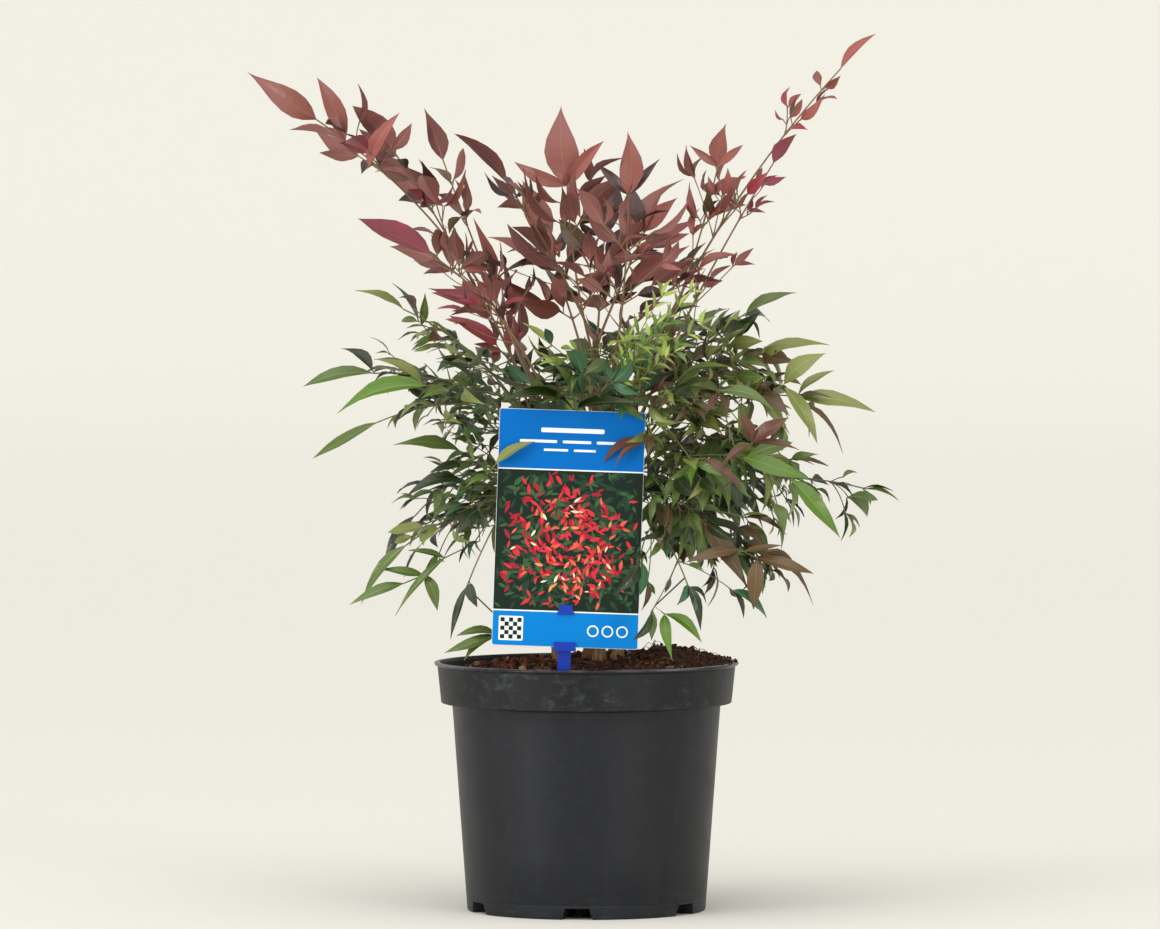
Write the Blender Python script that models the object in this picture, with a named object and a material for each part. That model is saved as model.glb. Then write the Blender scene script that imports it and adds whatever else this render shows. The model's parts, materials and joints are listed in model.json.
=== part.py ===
"""Heavenly bamboo in its black nursery pot, with a plain plant label.

A clump of canes stands on the potting soil. Each cane carries compound leaves ("sprays"): one
stalk that leaves the cane, pairs of side stalks, and leaflets in threes. Every spray is one solid.
Metres, +Z up, the viewer stands on the -Y side. The origin is the middle of the pot's underside.
"""

import math
import random
from collections import namedtuple

import bpy
from mathutils import Matrix, Vector
from mathutils.bvhtree import BVHTree

MM = 0.001
GAP = 0.3 * MM
UP = Vector((0, 0, 1))

# Pot: a 3 litre container, 19 cm across its lip.
SEGMENTS = 32
POT_HEIGHT = 155 * MM
LIP_RADIUS = 95 * MM
LIP_HEIGHT = 2 * MM
BAND_TOP_RADIUS = 93.3 * MM
BAND_FOOT_RADIUS = 90.7 * MM
BAND_HEIGHT = 26.5 * MM
BODY_TOP_RADIUS = 83.7 * MM
BODY_FOOT_RADIUS = 74.4 * MM
WALL = 1.6 * MM
FLOOR = 2 * MM
FOOT_CHANNELS = 6
FIRST_CHANNEL_DEG = -94.5
CHANNEL_HEIGHT = 7 * MM
CHANNEL_MOUTH = 28 * MM
CHANNEL_END = 10 * MM
CHANNEL_INNER_RADIUS = 42 * MM
CHANNEL_TAPER = 3 * MM
DRAIN_RADIUS = 4 * MM
DRAIN_PLACE = 60 * MM

# Soil: level under the canes, low at the front left, heaped up at the right.
SOIL_CROWN = 156 * MM
SOIL_CROWN_RADIUS = 37 * MM
SOIL_EDGE = 147 * MM
SOIL_HEAP = 9 * MM
SOIL_HEAP_DEG = 25
SOIL_RINGS = (0.7, 0.86, 1.0)

# Canes: one in the middle and a ring of five that lean outwards.
RING_CANES = 5
CANE_RING_RADIUS = 21 * MM
CANE_LEAN = 12 * MM
CANE_TOP = 345 * MM
CANE_FOOT_RADIUS = 3.6 * MM
CANE_TIP_RADIUS = 2.1 * MM
CANE_FLARE = 1.45
CANE_FLARE_HEIGHT = 7 * MM
CANE_SIDES = 6
CANE_BOW = 4 * MM

# Label: a card in the clip of a stake, leaning a little back and to the right.
CARD_WIDTH = 90 * MM
CARD_HEIGHT = 146 * MM
CARD_THICKNESS = 0.9 * MM
CARD_CORNER = 3 * MM
CARD_FOOT = Vector((-13.5 * MM, -70 * MM, 168 * MM))
CARD_LEAN_BACK_DEG = 4
CARD_LEAN_RIGHT_DEG = 2
STAKE_HALF_WIDTH = 4 * MM
STAKE_THICKNESS = 1.3 * MM
STAKE_DEPTH = 46 * MM
STAKE_TOP = 27 * MM
CLIP_HALF_WIDTH = 7 * MM
TONGUE_HALF_WIDTH = 5 * MM
TONGUE_HEIGHT = 20 * MM
TONGUE_THICKNESS = 2 * MM

# Tiers of sprays. first: the cane share of the tier's highest sprays. rise: the angle at which a stalk
# leaves its cane. lift: how far side stalks and leaflets turn up, or hang down if it is negative.
# leaf and slim: the length of the end leaflet, and its width as a share of that.
Tier = namedtuple("Tier", "name first rise lift leaf slim")
PLUME = Tier("plume", 1.0, 66, 0.42, 54 * MM, 0.42)
SHOULDER = Tier("shoulder", 0.82, 60, -0.12, 52 * MM, 0.34)
SKIRT = Tier("skirt", 0.62, 34, -0.34, 50 * MM, 0.33)
CANE_STEP = 0.07

# The sprays that make the outline seen from the front: (azimuth in degrees from +X, reach from the
# pot's axis and height of the tip in mm, roll of the leaf's plane in degrees, size of the leaflets).
PLUME_TIPS = (
    (186, 209, 517, 62, 1.0),
    (202, 150, 432, 40, 0.85),
    (186, 74, 486, 50, 0.85),
    (184, 141, 503, 60, 0.9),
    (246, 30, 497, 75, 1.0),
    (294, 62, 482, -60, 0.95),
    (356, 178, 545, 60, 0.62),
    (8, 88, 488, 70, 0.66),
    (186, 100, 497, 60, 0.8),
    (349, 130, 484, -50, 0.48),
    (340, 97, 410, 40, 0.5),
)
SHOULDER_TIPS = (
    (188, 144, 386, -30, 1.0),
    (177, 178, 327, -35, 0.85),
    (198, 163, 310, -45, 1.0),
    (184, 173, 282, -30, 1.0),
    (9, 130, 388, 30, 1.0),
    (357, 150, 355, 35, 1.0),
    (350, 182, 310, 45, 1.0),
    (330, 134, 312, 40, 0.9),
    (6, 168, 288, 25, 0.7),
    (262, 100, 352, 10, 0.9),
    (288, 104, 358, -15, 0.9),
    (218, 112, 345, -30, 0.9),
    (318, 112, 345, 30, 0.9),
)
SKIRT_TIPS = (
    (348, 125, 286, 40, 1.0),
    (196, 122, 296, -35, 1.0),
    (335, 150, 272, 45, 1.0),
    (12, 150, 266, 25, 0.9),
    (212, 128, 266, -35, 0.9),
    (2, 196, 256, 20, 0.65),
    (343, 168, 238, 45, 1.0),
    (322, 128, 200, 40, 0.95),
    (352, 145, 190, 25, 0.9),
    (190, 132, 214, -35, 0.9),
    (198, 152, 196, -40, 0.95),
    (222, 115, 172, -20, 0.9),
    (308, 115, 180, 30, 0.9),
)
# The back of the crown: how many sprays, over which azimuths, and their mean reach and tip height.
Fill = namedtuple("Fill", "tier count start_deg end_deg reach height spread")
BACK = (
    Fill(PLUME, 4, 45, 150, 90 * MM, 440 * MM, 18 * MM),
    Fill(SHOULDER, 5, 35, 155, 150 * MM, 335 * MM, 24 * MM),
    Fill(SKIRT, 4, 40, 155, 148 * MM, 218 * MM, 20 * MM),
)

# Stalks and leaflets. A stalk's nodes, where its side stalks grow, are at two of its stations.
STALK_STATIONS = (0, 0.15, 0.30, 0.46, 0.77, 1.0)
NODE_STATIONS = (3, 4)
STALK_RADIUS = 1.4 * MM
STALK_TIP_RADIUS = 0.8 * MM
SIDE_STALK_RADIUS = 0.45 * MM
SIDE_STALK_SWELL = 1.4
STALK_ROLL = 0.3
LEAF_ROLL = 0.6
SIDE_ANGLE_DEG = 56
SIDE_ANGLE_STEP_DEG = 8
SIDE_LENGTH = 0.38
SIDE_LENGTH_STEP = 0.12
LEAF_THICKNESS = 0.03
LEAF_WIDEST = 0.40
LEAF_DROOP = 0.10
LEAF_ROOT = 3 * MM
LEAF_ROOT_RADIUS = 0.26 * MM
LATERAL_LEAF = 0.76
LATERAL_ANGLE_DEG = 48
CLEARANCE = 0.35 * MM
OWN_START = 3.5 * MM

# What is tried in turn for a piece that would touch another one: for a stalk, how far its middle is
# lifted and moved aside; for a side stalk, (more angle, more lift, share of its length); for a leaflet,
# (more angle, more tilt, share of its length).
LIFTS = (0, 8 * MM, -8 * MM, 18 * MM, 32 * MM)
SWAYS = (0, 9 * MM, -9 * MM, 18 * MM, -18 * MM, 27 * MM, -27 * MM)
SIDE_TRIES = (
    (0, 0, 1),
    (0, 0.3, 1),
    (0, -0.3, 1),
    (14, 0, 1),
    (-14, 0, 1),
    (0, 0.3, 0.6),
    (0, -0.3, 0.6),
    (14, 0, 0.4),
)
LEAF_TRIES = (
    (0, 0, 1),
    (0, 30, 1),
    (0, -30, 1),
    (12, 0, 0.9),
    (-12, 0, 0.9),
    (0, 45, 0.8),
    (0, -45, 0.8),
)

Spray = namedtuple("Spray", "name tier tip roll leaf cane share")
Shoot = namedtuple("Shoot", "root direction normal twig leaf width radius")
Shell = namedtuple("Shell", "points faces")


def clear_scene():
    for old in list(bpy.data.objects):
        bpy.data.objects.remove(old, do_unlink=True)


def material(name, colour, roughness):
    made = bpy.data.materials.new(name)
    made.use_nodes = True
    shader = made.node_tree.nodes["Principled BSDF"]
    shader.inputs["Base Color"].default_value = (*colour, 1)
    shader.inputs["Roughness"].default_value = roughness
    return made


def polar(azimuth_deg, radius, height=0.0):
    angle = math.radians(azimuth_deg)
    return Vector((radius * math.cos(angle), radius * math.sin(angle), height))


def mesh_object(name, shell, finish=None):
    mesh = bpy.data.meshes.new(name)
    mesh.from_pydata([tuple(p) for p in shell.points], [], shell.faces)
    mesh.validate()
    made = bpy.data.objects.new(name, mesh)
    if finish:
        mesh.materials.append(finish)
    bpy.context.scene.collection.objects.link(made)
    return made


def helper(made):
    made.hide_render = True
    made.display_type = "WIRE"
    return made


def boolean(target, other, operation):
    """other is a cutter object, or a collection of solids to join."""
    modifier = target.modifiers.new(operation.title(), "BOOLEAN")
    modifier.operation = operation
    if isinstance(other, bpy.types.Collection):
        modifier.operand_type = "COLLECTION"
        modifier.collection = other
    else:
        modifier.object = other
    modifier.solver = "EXACT"


def turned(outline, segments=SEGMENTS):
    """A solid of revolution. The outline runs up from a point on the axis to another one."""
    points = [Vector((0, 0, outline[0][1]))]
    rings = outline[1:-1]
    for radius, height in rings:
        points += [polar(360 * i / segments, radius, height) for i in range(segments)]
    points.append(Vector((0, 0, outline[-1][1])))
    return Shell(points, ring_faces(len(rings), segments))


def ring_faces(rings, segments):
    """Faces of rings of points between a first and a last single point."""
    last = rings * segments + 1
    faces = []
    for i in range(segments):
        j = (i + 1) % segments
        faces.append((0, 1 + j, 1 + i))
        for k in range(rings - 1):
            low, high = 1 + k * segments, 1 + (k + 1) * segments
            faces.append((low + i, low + j, high + j, high + i))
        faces.append((last, last - segments + i, last - segments + j))
    return faces


def prism(outline, low, high):
    """A flat outline, counter-clockwise from above, made solid between two heights."""
    count = len(outline)
    points = [Vector((x, y, low)) for x, y in outline]
    points += [Vector((x, y, high)) for x, y in outline]
    sides = [(i, (i + 1) % count, count + (i + 1) % count, count + i) for i in range(count)]
    return Shell(points, [tuple(reversed(range(count))), tuple(range(count, 2 * count)), *sides])


def block(low, high):
    (x0, y0, z0), (x1, y1, z1) = low, high
    return prism([(x0, y0), (x1, y0), (x1, y1), (x0, y1)], z0, z1)


def joined(shells):
    points, faces = [], []
    for shell in shells:
        faces += [tuple(i + len(points) for i in face) for face in shell.faces]
        points += shell.points
    return Shell(points, faces)


def moved(shell, matrix):
    return Shell([matrix @ p for p in shell.points], shell.faces)


def pot_outline():
    band_foot = POT_HEIGHT - BAND_HEIGHT
    return [
        (0, 0),
        (BODY_FOOT_RADIUS, 0),
        (BODY_TOP_RADIUS, band_foot),
        (BAND_FOOT_RADIUS, band_foot + 1 * MM),
        (BAND_TOP_RADIUS, POT_HEIGHT - LIP_HEIGHT),
        (LIP_RADIUS, POT_HEIGHT - LIP_HEIGHT / 2),
        (LIP_RADIUS, POT_HEIGHT),
        (0, POT_HEIGHT),
    ]


def cavity_radius(height):
    """Radius inside the pot's wall, which steps out behind the band."""
    step = POT_HEIGHT - BAND_HEIGHT + WALL
    if height < step:
        share = height / (POT_HEIGHT - BAND_HEIGHT)
        return BODY_FOOT_RADIUS + (BODY_TOP_RADIUS - BODY_FOOT_RADIUS) * share - WALL
    share = (height - step) / (POT_HEIGHT - step)
    return BAND_FOOT_RADIUS + (BAND_TOP_RADIUS - BAND_FOOT_RADIUS) * share - WALL


def cavity_outline(inset, top):
    step = POT_HEIGHT - BAND_HEIGHT + WALL
    low = FLOOR + inset
    return [
        (0, low),
        (cavity_radius(low) - inset, low),
        (cavity_radius(step - 1 * MM) - inset, step - 1 * MM + inset),
        (cavity_radius(step) - inset, step + inset),
        (cavity_radius(top) - inset, top),
    ]


def channels(grown):
    """The drainage channels that run in from the notches under the pot's edge."""
    made = []
    mouth, end = CHANNEL_MOUTH / 2 + grown, CHANNEL_END / 2 + grown
    near, far = CHANNEL_INNER_RADIUS - grown, LIP_RADIUS
    for i in range(FOOT_CHANNELS):
        outline = [(near, -end), (far, -mouth), (far, mouth), (near, end)]
        solid = prism(outline, -1 * MM, CHANNEL_HEIGHT + grown)
        for p in solid.points[4:]:
            p.y -= math.copysign(CHANNEL_TAPER, p.y)
        turn = math.radians(FIRST_CHANNEL_DEG + 360 * i / FOOT_CHANNELS)
        made.append(moved(solid, Matrix.Rotation(turn, 4, "Z")))
    return joined(made)


def drains():
    made = []
    for i in range(FOOT_CHANNELS):
        low, high = 5 * MM, 11 * MM
        hole = turned([(0, low), (DRAIN_RADIUS, low), (DRAIN_RADIUS, high), (0, high)], 10)
        place = polar(FIRST_CHANNEL_DEG + 360 * i / FOOT_CHANNELS, DRAIN_PLACE)
        made.append(moved(hole, Matrix.Translation(place)))
    return joined(made)


def build_pot():
    plastic = material("black_plastic", (0.03, 0.032, 0.036), 0.42)
    pot = mesh_object("pot", turned(pot_outline()), plastic)
    cavity_top = POT_HEIGHT + 1 * MM
    inside = turned([*cavity_outline(0, cavity_top), (0, cavity_top)])
    cavity = helper(mesh_object("pot_cavity", inside))
    boolean(cavity, helper(mesh_object("channel_walls", channels(WALL))), "DIFFERENCE")
    boolean(pot, cavity, "DIFFERENCE")
    boolean(pot, helper(mesh_object("pot_channels", channels(0))), "DIFFERENCE")
    boolean(pot, helper(mesh_object("pot_drains", drains())), "DIFFERENCE")
    pot.data.shade_smooth()
    pot.data.set_sharp_from_angle(angle=math.radians(30))


def soil_level(azimuth_deg, share):
    """Height of the soil: level under the canes, then down to the edge, with a heap at the right."""
    crown = SOIL_CROWN_RADIUS / BAND_FOOT_RADIUS
    fall = min(1.0, max(0.0, (share - crown) / (1 - crown)))
    toward = max(0.0, math.cos(math.radians(azimuth_deg - SOIL_HEAP_DEG)))
    ripple = 1.1 * MM * math.sin(math.radians(5 * azimuth_deg)) * math.sin(math.pi * fall)
    heap = SOIL_HEAP * toward * math.sin(math.pi * min(1.0, fall) * 0.75)
    return SOIL_CROWN + (SOIL_EDGE - SOIL_CROWN) * fall + heap + ripple


def build_soil():
    soil_finish = material("potting_soil", (0.05, 0.03, 0.02), 0.95)
    edge = cavity_outline(GAP, SOIL_EDGE - 3 * MM)
    points = [Vector((0, 0, edge[0][1]))]
    rings = 0
    for radius, height in edge[1:]:
        points += [polar(360 * i / SEGMENTS, radius, height) for i in range(SEGMENTS)]
        rings += 1
    crown = SOIL_CROWN_RADIUS / BAND_FOOT_RADIUS
    for share in (*reversed(SOIL_RINGS), crown):
        for i in range(SEGMENTS):
            azimuth = 360 * i / SEGMENTS
            height = soil_level(azimuth, share)
            radius = (cavity_radius(height) - GAP) * share
            points.append(polar(azimuth, radius, height))
        rings += 1
    points.append(Vector((0, 0, SOIL_CROWN)))
    soil = mesh_object("soil", Shell(points, ring_faces(rings, SEGMENTS)), soil_finish)
    boolean(soil, helper(mesh_object("soil_channels", channels(WALL + GAP))), "DIFFERENCE")
    slot = moved(stake_strip(GAP), card_matrix())
    boolean(soil, helper(mesh_object("stake_slot", slot)), "DIFFERENCE")


def card_matrix():
    """From the card's own axes (X to the right, Y back, Z up, from the middle of its lower edge)."""
    lean = Matrix.Rotation(math.radians(-CARD_LEAN_BACK_DEG), 4, "X")
    turn = Matrix.Rotation(math.radians(CARD_LEAN_RIGHT_DEG), 4, "Y")
    return Matrix.Translation(CARD_FOOT) @ turn @ lean


def stake_strip(grown):
    near = CARD_THICKNESS + GAP - grown
    far = CARD_THICKNESS + GAP + STAKE_THICKNESS + grown
    half = STAKE_HALF_WIDTH + grown
    return block((-half, near, -STAKE_DEPTH - grown), (half, far, STAKE_TOP + grown))


def tongue(grown):
    half = TONGUE_HALF_WIDTH + grown
    back = CARD_THICKNESS + GAP + STAKE_THICKNESS / 2
    low, high = TONGUE_HEIGHT - grown, TONGUE_HEIGHT + TONGUE_THICKNESS + grown
    return block((-half, -1.3 * MM - grown, low), (half, back, high))


def card_outline():
    half, corner = CARD_WIDTH / 2, CARD_CORNER
    outline = []
    for x, z, start in ((half, 0, 270), (half, CARD_HEIGHT, 0), (-half, CARD_HEIGHT, 90), (-half, 0, 180)):
        centre_x = x - math.copysign(corner, x)
        centre_z = corner if z == 0 else z - corner
        for step in range(4):
            angle = math.radians(start + 30 * step)
            outline.append((centre_x + corner * math.cos(angle), centre_z + corner * math.sin(angle)))
    return outline


def build_label():
    card_finish = material("label_card", (0.02, 0.22, 0.62), 0.35)
    stake_finish = material("label_stake", (0.01, 0.05, 0.55), 0.4)
    stand_up = Matrix.Rotation(math.radians(90), 4, "X")
    card = moved(prism(card_outline(), -CARD_THICKNESS, 0), stand_up)
    made = mesh_object("label_card", moved(card, card_matrix()), card_finish)
    slit = helper(mesh_object("card_slit", moved(tongue(GAP), card_matrix())))
    boolean(made, slit, "DIFFERENCE")

    half, front = CLIP_HALF_WIDTH, -1.5 * MM
    back = CARD_THICKNESS + GAP + STAKE_THICKNESS * 0.9
    ledge = block((-half, front, -2.4 * MM), (half, back, -GAP))
    lip = block((-half * 0.96, front * 0.98, -2 * MM), (half * 0.96, -GAP, 3.2 * MM))
    narrow = TONGUE_HALF_WIDTH * 0.8
    low, high = TONGUE_HEIGHT + 1 * MM, TONGUE_HEIGHT + 6 * MM
    barb = block((-narrow, -1.25 * MM, low), (narrow, -GAP, high))
    shells = [stake_strip(0), ledge, lip, tongue(0), barb]
    fused("label_stake", [moved(shell, card_matrix()) for shell in shells], stake_finish)


def fused(name, shells, finish):
    """One Boolean union joins the shells into one solid."""
    made = mesh_object(name, shells[0], finish)
    parts = bpy.data.collections.new(name + "_parts")
    bpy.context.scene.collection.children.link(parts)
    for i, shell in enumerate(shells[1:]):
        piece = mesh_object(f"{name}_part_{i}", shell)
        bpy.context.scene.collection.objects.unlink(piece)
        parts.objects.link(piece)
    boolean(made, parts, "UNION")
    graph = bpy.context.evaluated_depsgraph_get()
    whole = bpy.data.meshes.new_from_object(made.evaluated_get(graph))
    made.modifiers.clear()
    made.data = whole
    for piece in list(parts.objects):
        bpy.data.objects.remove(piece, do_unlink=True)
    bpy.data.collections.remove(parts)
    return made


def cane_foot_and_top(cane):
    """Cane 0 stands in the middle. The others stand in a ring and lean out by a seeded amount."""
    draw = random.Random(f"cane {cane}")
    if cane == 0:
        return Vector((1 * MM, 3 * MM, SOIL_CROWN + GAP)), Vector((6 * MM, -2 * MM, CANE_TOP + 14 * MM))
    azimuth = 360 * (cane - 1) / RING_CANES + draw.uniform(-9, 9)
    foot = polar(azimuth, CANE_RING_RADIUS + draw.uniform(-3, 3) * MM, SOIL_CROWN + GAP)
    lean = CANE_LEAN + draw.uniform(-4, 4) * MM
    top = foot + polar(azimuth + draw.uniform(-14, 14), lean)
    top.z = CANE_TOP + draw.uniform(-22, 10) * MM
    return foot, top


def cane_point(cane, share):
    foot, top = cane_foot_and_top(cane)
    outward = Vector((top.x - foot.x, top.y - foot.y, 0)).normalized()
    return foot.lerp(top, share) + outward * CANE_BOW * math.sin(math.pi * share)


def cane_radius(share, length):
    flare = max(0.0, 1 - share * length / CANE_FLARE_HEIGHT)
    slim = CANE_FOOT_RADIUS + (CANE_TIP_RADIUS - CANE_FOOT_RADIUS) * share
    return slim * (1 + (CANE_FLARE - 1) * flare * flare)


def cane_length(cane):
    foot, top = cane_foot_and_top(cane)
    return (top - foot).length


def cane_shell(cane):
    """A tapering round stem with a flat, level cut at the foot."""
    length = cane_length(cane)
    shares = (0, 0.02, 0.04, 0.35, 0.7, 1.0)
    points = [cane_point(cane, 0)]
    for share in shares:
        centre, radius = cane_point(cane, share), cane_radius(share, length)
        points += [centre + polar(360 * i / CANE_SIDES, radius) for i in range(CANE_SIDES)]
    points.append(cane_point(cane, 1.0) + UP * 0.5 * MM)
    return Shell(points, ring_faces(len(shares), CANE_SIDES))


def build_canes():
    bark = material("cane_bark", (0.33, 0.21, 0.12), 0.8)
    for cane in range(RING_CANES + 1):
        made = mesh_object(f"cane_{cane + 1}", cane_shell(cane), bark)
        made.data.shade_smooth()
        made.data.set_sharp_from_angle(angle=math.radians(50))


def spray_list():
    """Every spray with its tip, and the cane and height where it grows."""
    tips = []
    for tier, rows in ((PLUME, PLUME_TIPS), (SHOULDER, SHOULDER_TIPS), (SKIRT, SKIRT_TIPS)):
        for azimuth, reach, height, roll, size in rows:
            tips.append((tier, polar(azimuth, reach * MM, height * MM), roll, size))
    for fill in BACK:
        draw = random.Random(f"back {fill.tier.name}")
        for i in range(fill.count):
            azimuth = fill.start_deg + (fill.end_deg - fill.start_deg) * i / (fill.count - 1)
            reach = fill.reach + draw.uniform(-1, 1) * fill.spread
            height = fill.height + draw.uniform(-1, 1) * fill.spread
            tips.append((fill.tier, polar(azimuth, reach, height), draw.uniform(-40, 40), 0.95))
    sprays, taken, numbers = [], {}, {}
    for tier, tip, roll, size in tips:
        cane = nearest_cane(tip, tier, taken)
        used = taken.get((cane, tier), 0)
        taken[(cane, tier)] = used + 1
        numbers[tier] = numbers.get(tier, 0) + 1
        name = f"{tier.name}_{numbers[tier]:02d}"
        share = tier.first - CANE_STEP * used
        sprays.append(Spray(name, tier, tip.freeze(), roll, tier.leaf * size, cane, share))
    return sprays


def nearest_cane(tip, tier, taken):
    """The cane that leans most towards the tip, unless it already carries its share of this tier."""
    def cost(cane):
        side = cane_point(cane, 1.0)
        side.z = 0
        reach = Vector((tip.x, tip.y, 0))
        crowding = 9 * MM * taken.get((cane, tier), 0)
        return (reach * 0.22 - side).length + crowding
    return min(range(RING_CANES + 1), key=cost)


def stalk_curve(spray, sway, lift):
    """The stalk from the cane to the spray's tip: it leaves at the tier's rise and bends over."""
    at_cane = cane_point(spray.cane, spray.share)
    outward = Vector((spray.tip.x - at_cane.x, spray.tip.y - at_cane.y, 0)).normalized()
    rise = math.radians(spray.tier.rise)
    heading = outward * math.cos(rise) + UP * math.sin(rise)
    start = seat_on_cane(spray, at_cane, outward, heading)
    span = (spray.tip - start).length
    middle = start + heading * span * 0.52 + outward.cross(UP) * sway + UP * lift

    def point(t):
        return start * (1 - t) ** 2 + middle * 2 * t * (1 - t) + spray.tip * t * t

    end = 1 - (spray.leaf - LEAF_ROOT) / span
    return [point(end * share) for share in STALK_STATIONS]


def seat_on_cane(spray, at_cane, outward, heading):
    """The stalk's first centre, from which its nearest corner lies one gap clear of the cane."""
    bark = tree_of(cane_shell(spray.cane))
    across, over = frame_of(heading, leaf_normal(spray, heading))
    start = at_cane + outward * (CANE_FOOT_RADIUS + STALK_RADIUS * 2)
    for _ in range(3):
        corners = ring(start, across, over, STALK_RADIUS)
        nearest = min(bark.find_nearest(corner)[3] for corner in corners)
        start = start + outward * (GAP - nearest)
    return start


def frame_of(direction, normal):
    across = direction.cross(normal).normalized()
    return across, across.cross(direction).normalized()


def ring(centre, across, over, radius):
    """The three corners of a stalk: left, bottom and right, seen from its foot."""
    turns = [math.radians(a) for a in (150, 270, 30)]
    return [centre + (across * math.cos(a) + over * math.sin(a)) * radius for a in turns]


def spindle(rings, tip):
    """A closed three-sided shell: a flat foot, rings of three corners and a pointed tip."""
    points = [p for corners in rings for p in corners] + [tip]
    faces = [(0, 1, 2)]
    for low in range(0, 3 * len(rings) - 3, 3):
        for k in range(3):
            n = (k + 1) % 3
            faces.append((low + n, low + k, low + 3 + k, low + 3 + n))
    last = 3 * len(rings) - 3
    faces += [(last + (k + 1) % 3, last + k, last + 3) for k in range(3)]
    return Shell(points, faces)


def leaflet(root, direction, normal, length, width, grown):
    """The widest ring of a leaflet (left edge, keel, right edge) and its drooping tip."""
    across, over = frame_of(direction, normal)
    wide = root + direction * length * LEAF_WIDEST
    half = across * (width / 2 + grown)
    keel = over * (LEAF_THICKNESS * length + grown)
    edge = over * grown
    tip = root + direction * (length + 2 * grown) - over * length * LEAF_DROOP
    return [wide - half + edge, wide - keel, wide + half + edge], tip


def stalk_shell(spray, centres, grown):
    """The main stalk, which runs out into the end leaflet."""
    last = len(centres) - 1
    rings = []
    for i, centre in enumerate(centres):
        along = (centres[min(last, i + 1)] - centres[max(0, i - 1)]).normalized()
        across, over = frame_of(along, leaf_normal(spray, along))
        radius = STALK_RADIUS + (STALK_TIP_RADIUS - STALK_RADIUS) * i / last
        rings.append(ring(centre, across, over, radius + grown))
    to_tip = spray.tip + UP * LEAF_DROOP * spray.leaf - centres[-1]
    direction = to_tip.normalized()
    normal = leaf_normal(spray, direction)
    width = spray.leaf * spray.tier.slim
    wide, tip = leaflet(centres[-1], direction, normal, to_tip.length, width, grown)
    return spindle([*rings, wide], tip)


def shoot_shell(shoot, grown, start=0.0):
    """A side stalk with its end leaflet, or a leaflet alone where the twig's length is 0."""
    across, over = frame_of(shoot.direction, shoot.normal)
    end = shoot.root + shoot.direction * shoot.twig
    rings = [ring(shoot.root + shoot.direction * start, across, over, shoot.radius + grown)]
    if shoot.twig > start:
        rings.append(ring(end, across, over, shoot.radius * SIDE_STALK_SWELL + grown))
    wide, tip = leaflet(end, shoot.direction, shoot.normal, shoot.leaf, shoot.width, grown)
    return spindle([*rings, wide], tip)


class Space:
    """What already stands in the crown."""

    def __init__(self):
        self.taken = []

    def add(self, owner, shell):
        self.taken.append((owner, bounds_of(shell), tree_of(shell)))

    def is_clear(self, owner, wide, blade=None, seat=None, slim=None):
        """True if wide misses the other owners' pieces, blade the owner's own, and slim its seat."""
        for other, bounds, tree in self.taken:
            mine = blade if other == owner else slim if other == seat else wide
            if mine and boxes_meet(bounds_of(mine), bounds) and tree_of(mine).overlap(tree):
                return False
        return True


def tree_of(shell):
    return BVHTree.FromPolygons(shell.points, shell.faces)


def bounds_of(shell):
    low = tuple(min(p[k] for p in shell.points) for k in range(3))
    high = tuple(max(p[k] for p in shell.points) for k in range(3))
    return low, high


def boxes_meet(one, other):
    return all(one[0][k] <= other[1][k] and other[0][k] <= one[1][k] for k in range(3))


def fixed_space():
    """The pot with its soil, the label and the canes, as the sprays must miss them."""
    space = Space()
    outline = pot_outline()[:-1]
    space.add("pot", turned([*outline, (0, SOIL_CROWN + 4 * MM)]))
    half = CARD_WIDTH / 2 + 1 * MM
    card = block((-half, -3 * MM, -4 * MM), (half, 4 * MM, CARD_HEIGHT + 1 * MM))
    space.add("label", moved(card, card_matrix()))
    for cane in range(RING_CANES + 1):
        space.add(f"cane {cane}", cane_shell(cane))
    return space


def place_stalk(spray, space):
    """The stalk's centres at the first lift and sway at which it misses everything that stands."""
    for lift in LIFTS:
        for sway in SWAYS:
            centres = stalk_curve(spray, sway, lift)
            wide, slim = stalk_shell(spray, centres, CLEARANCE), stalk_shell(spray, centres, GAP / 2)
            if space.is_clear(spray.name, wide, seat=f"cane {spray.cane}", slim=slim):
                return centres
    return None


def leaf_normal(spray, along, part=1.0):
    """Upwards, square to the stalk, and then rolled about it. The side stalks take part of the roll."""
    outward = Vector((spray.tip.x, spray.tip.y, 0)).normalized()
    flat = outward.cross(UP)
    flat = (flat - along * flat.dot(along)).normalized()
    over = flat.cross(along)
    roll = math.radians(spray.roll * part)
    return over * math.cos(roll) + flat * math.sin(roll)


def side_stalks(spray, centres, pair, hand):
    """The ways in which one side stalk may grow, the straightest first."""
    draw = random.Random(f"{spray.name} {pair} {hand}")
    station = NODE_STATIONS[pair]
    along = (centres[station + 1] - centres[station - 1]).normalized()
    across, over = frame_of(along, leaf_normal(spray, along, STALK_ROLL))
    angle = SIDE_ANGLE_DEG - SIDE_ANGLE_STEP_DEG * pair + draw.uniform(-9, 9)
    lift = draw.uniform(-0.2, 0.2)
    length = (spray.tip - centres[0]).length
    size = spray.leaf / spray.tier.leaf
    reach = length * (SIDE_LENGTH - SIDE_LENGTH_STEP * pair) * size * draw.uniform(0.88, 1.1)
    leaf = spray.leaf * draw.uniform(0.74, 0.92)
    for more_angle, more_lift, shorter in SIDE_TRIES:
        turn = math.radians(angle + more_angle)
        direction = along * math.cos(turn) + across * hand * math.sin(turn) + over * (lift + more_lift)
        direction = (direction + UP * spray.tier.lift).normalized()
        twig = max((reach - leaf) * shorter, 9 * MM)
        normal = leaf_normal(spray, direction)
        width = leaf * spray.tier.slim
        yield Shoot(centres[station], direction, normal, twig, leaf, width, SIDE_STALK_RADIUS)


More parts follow.
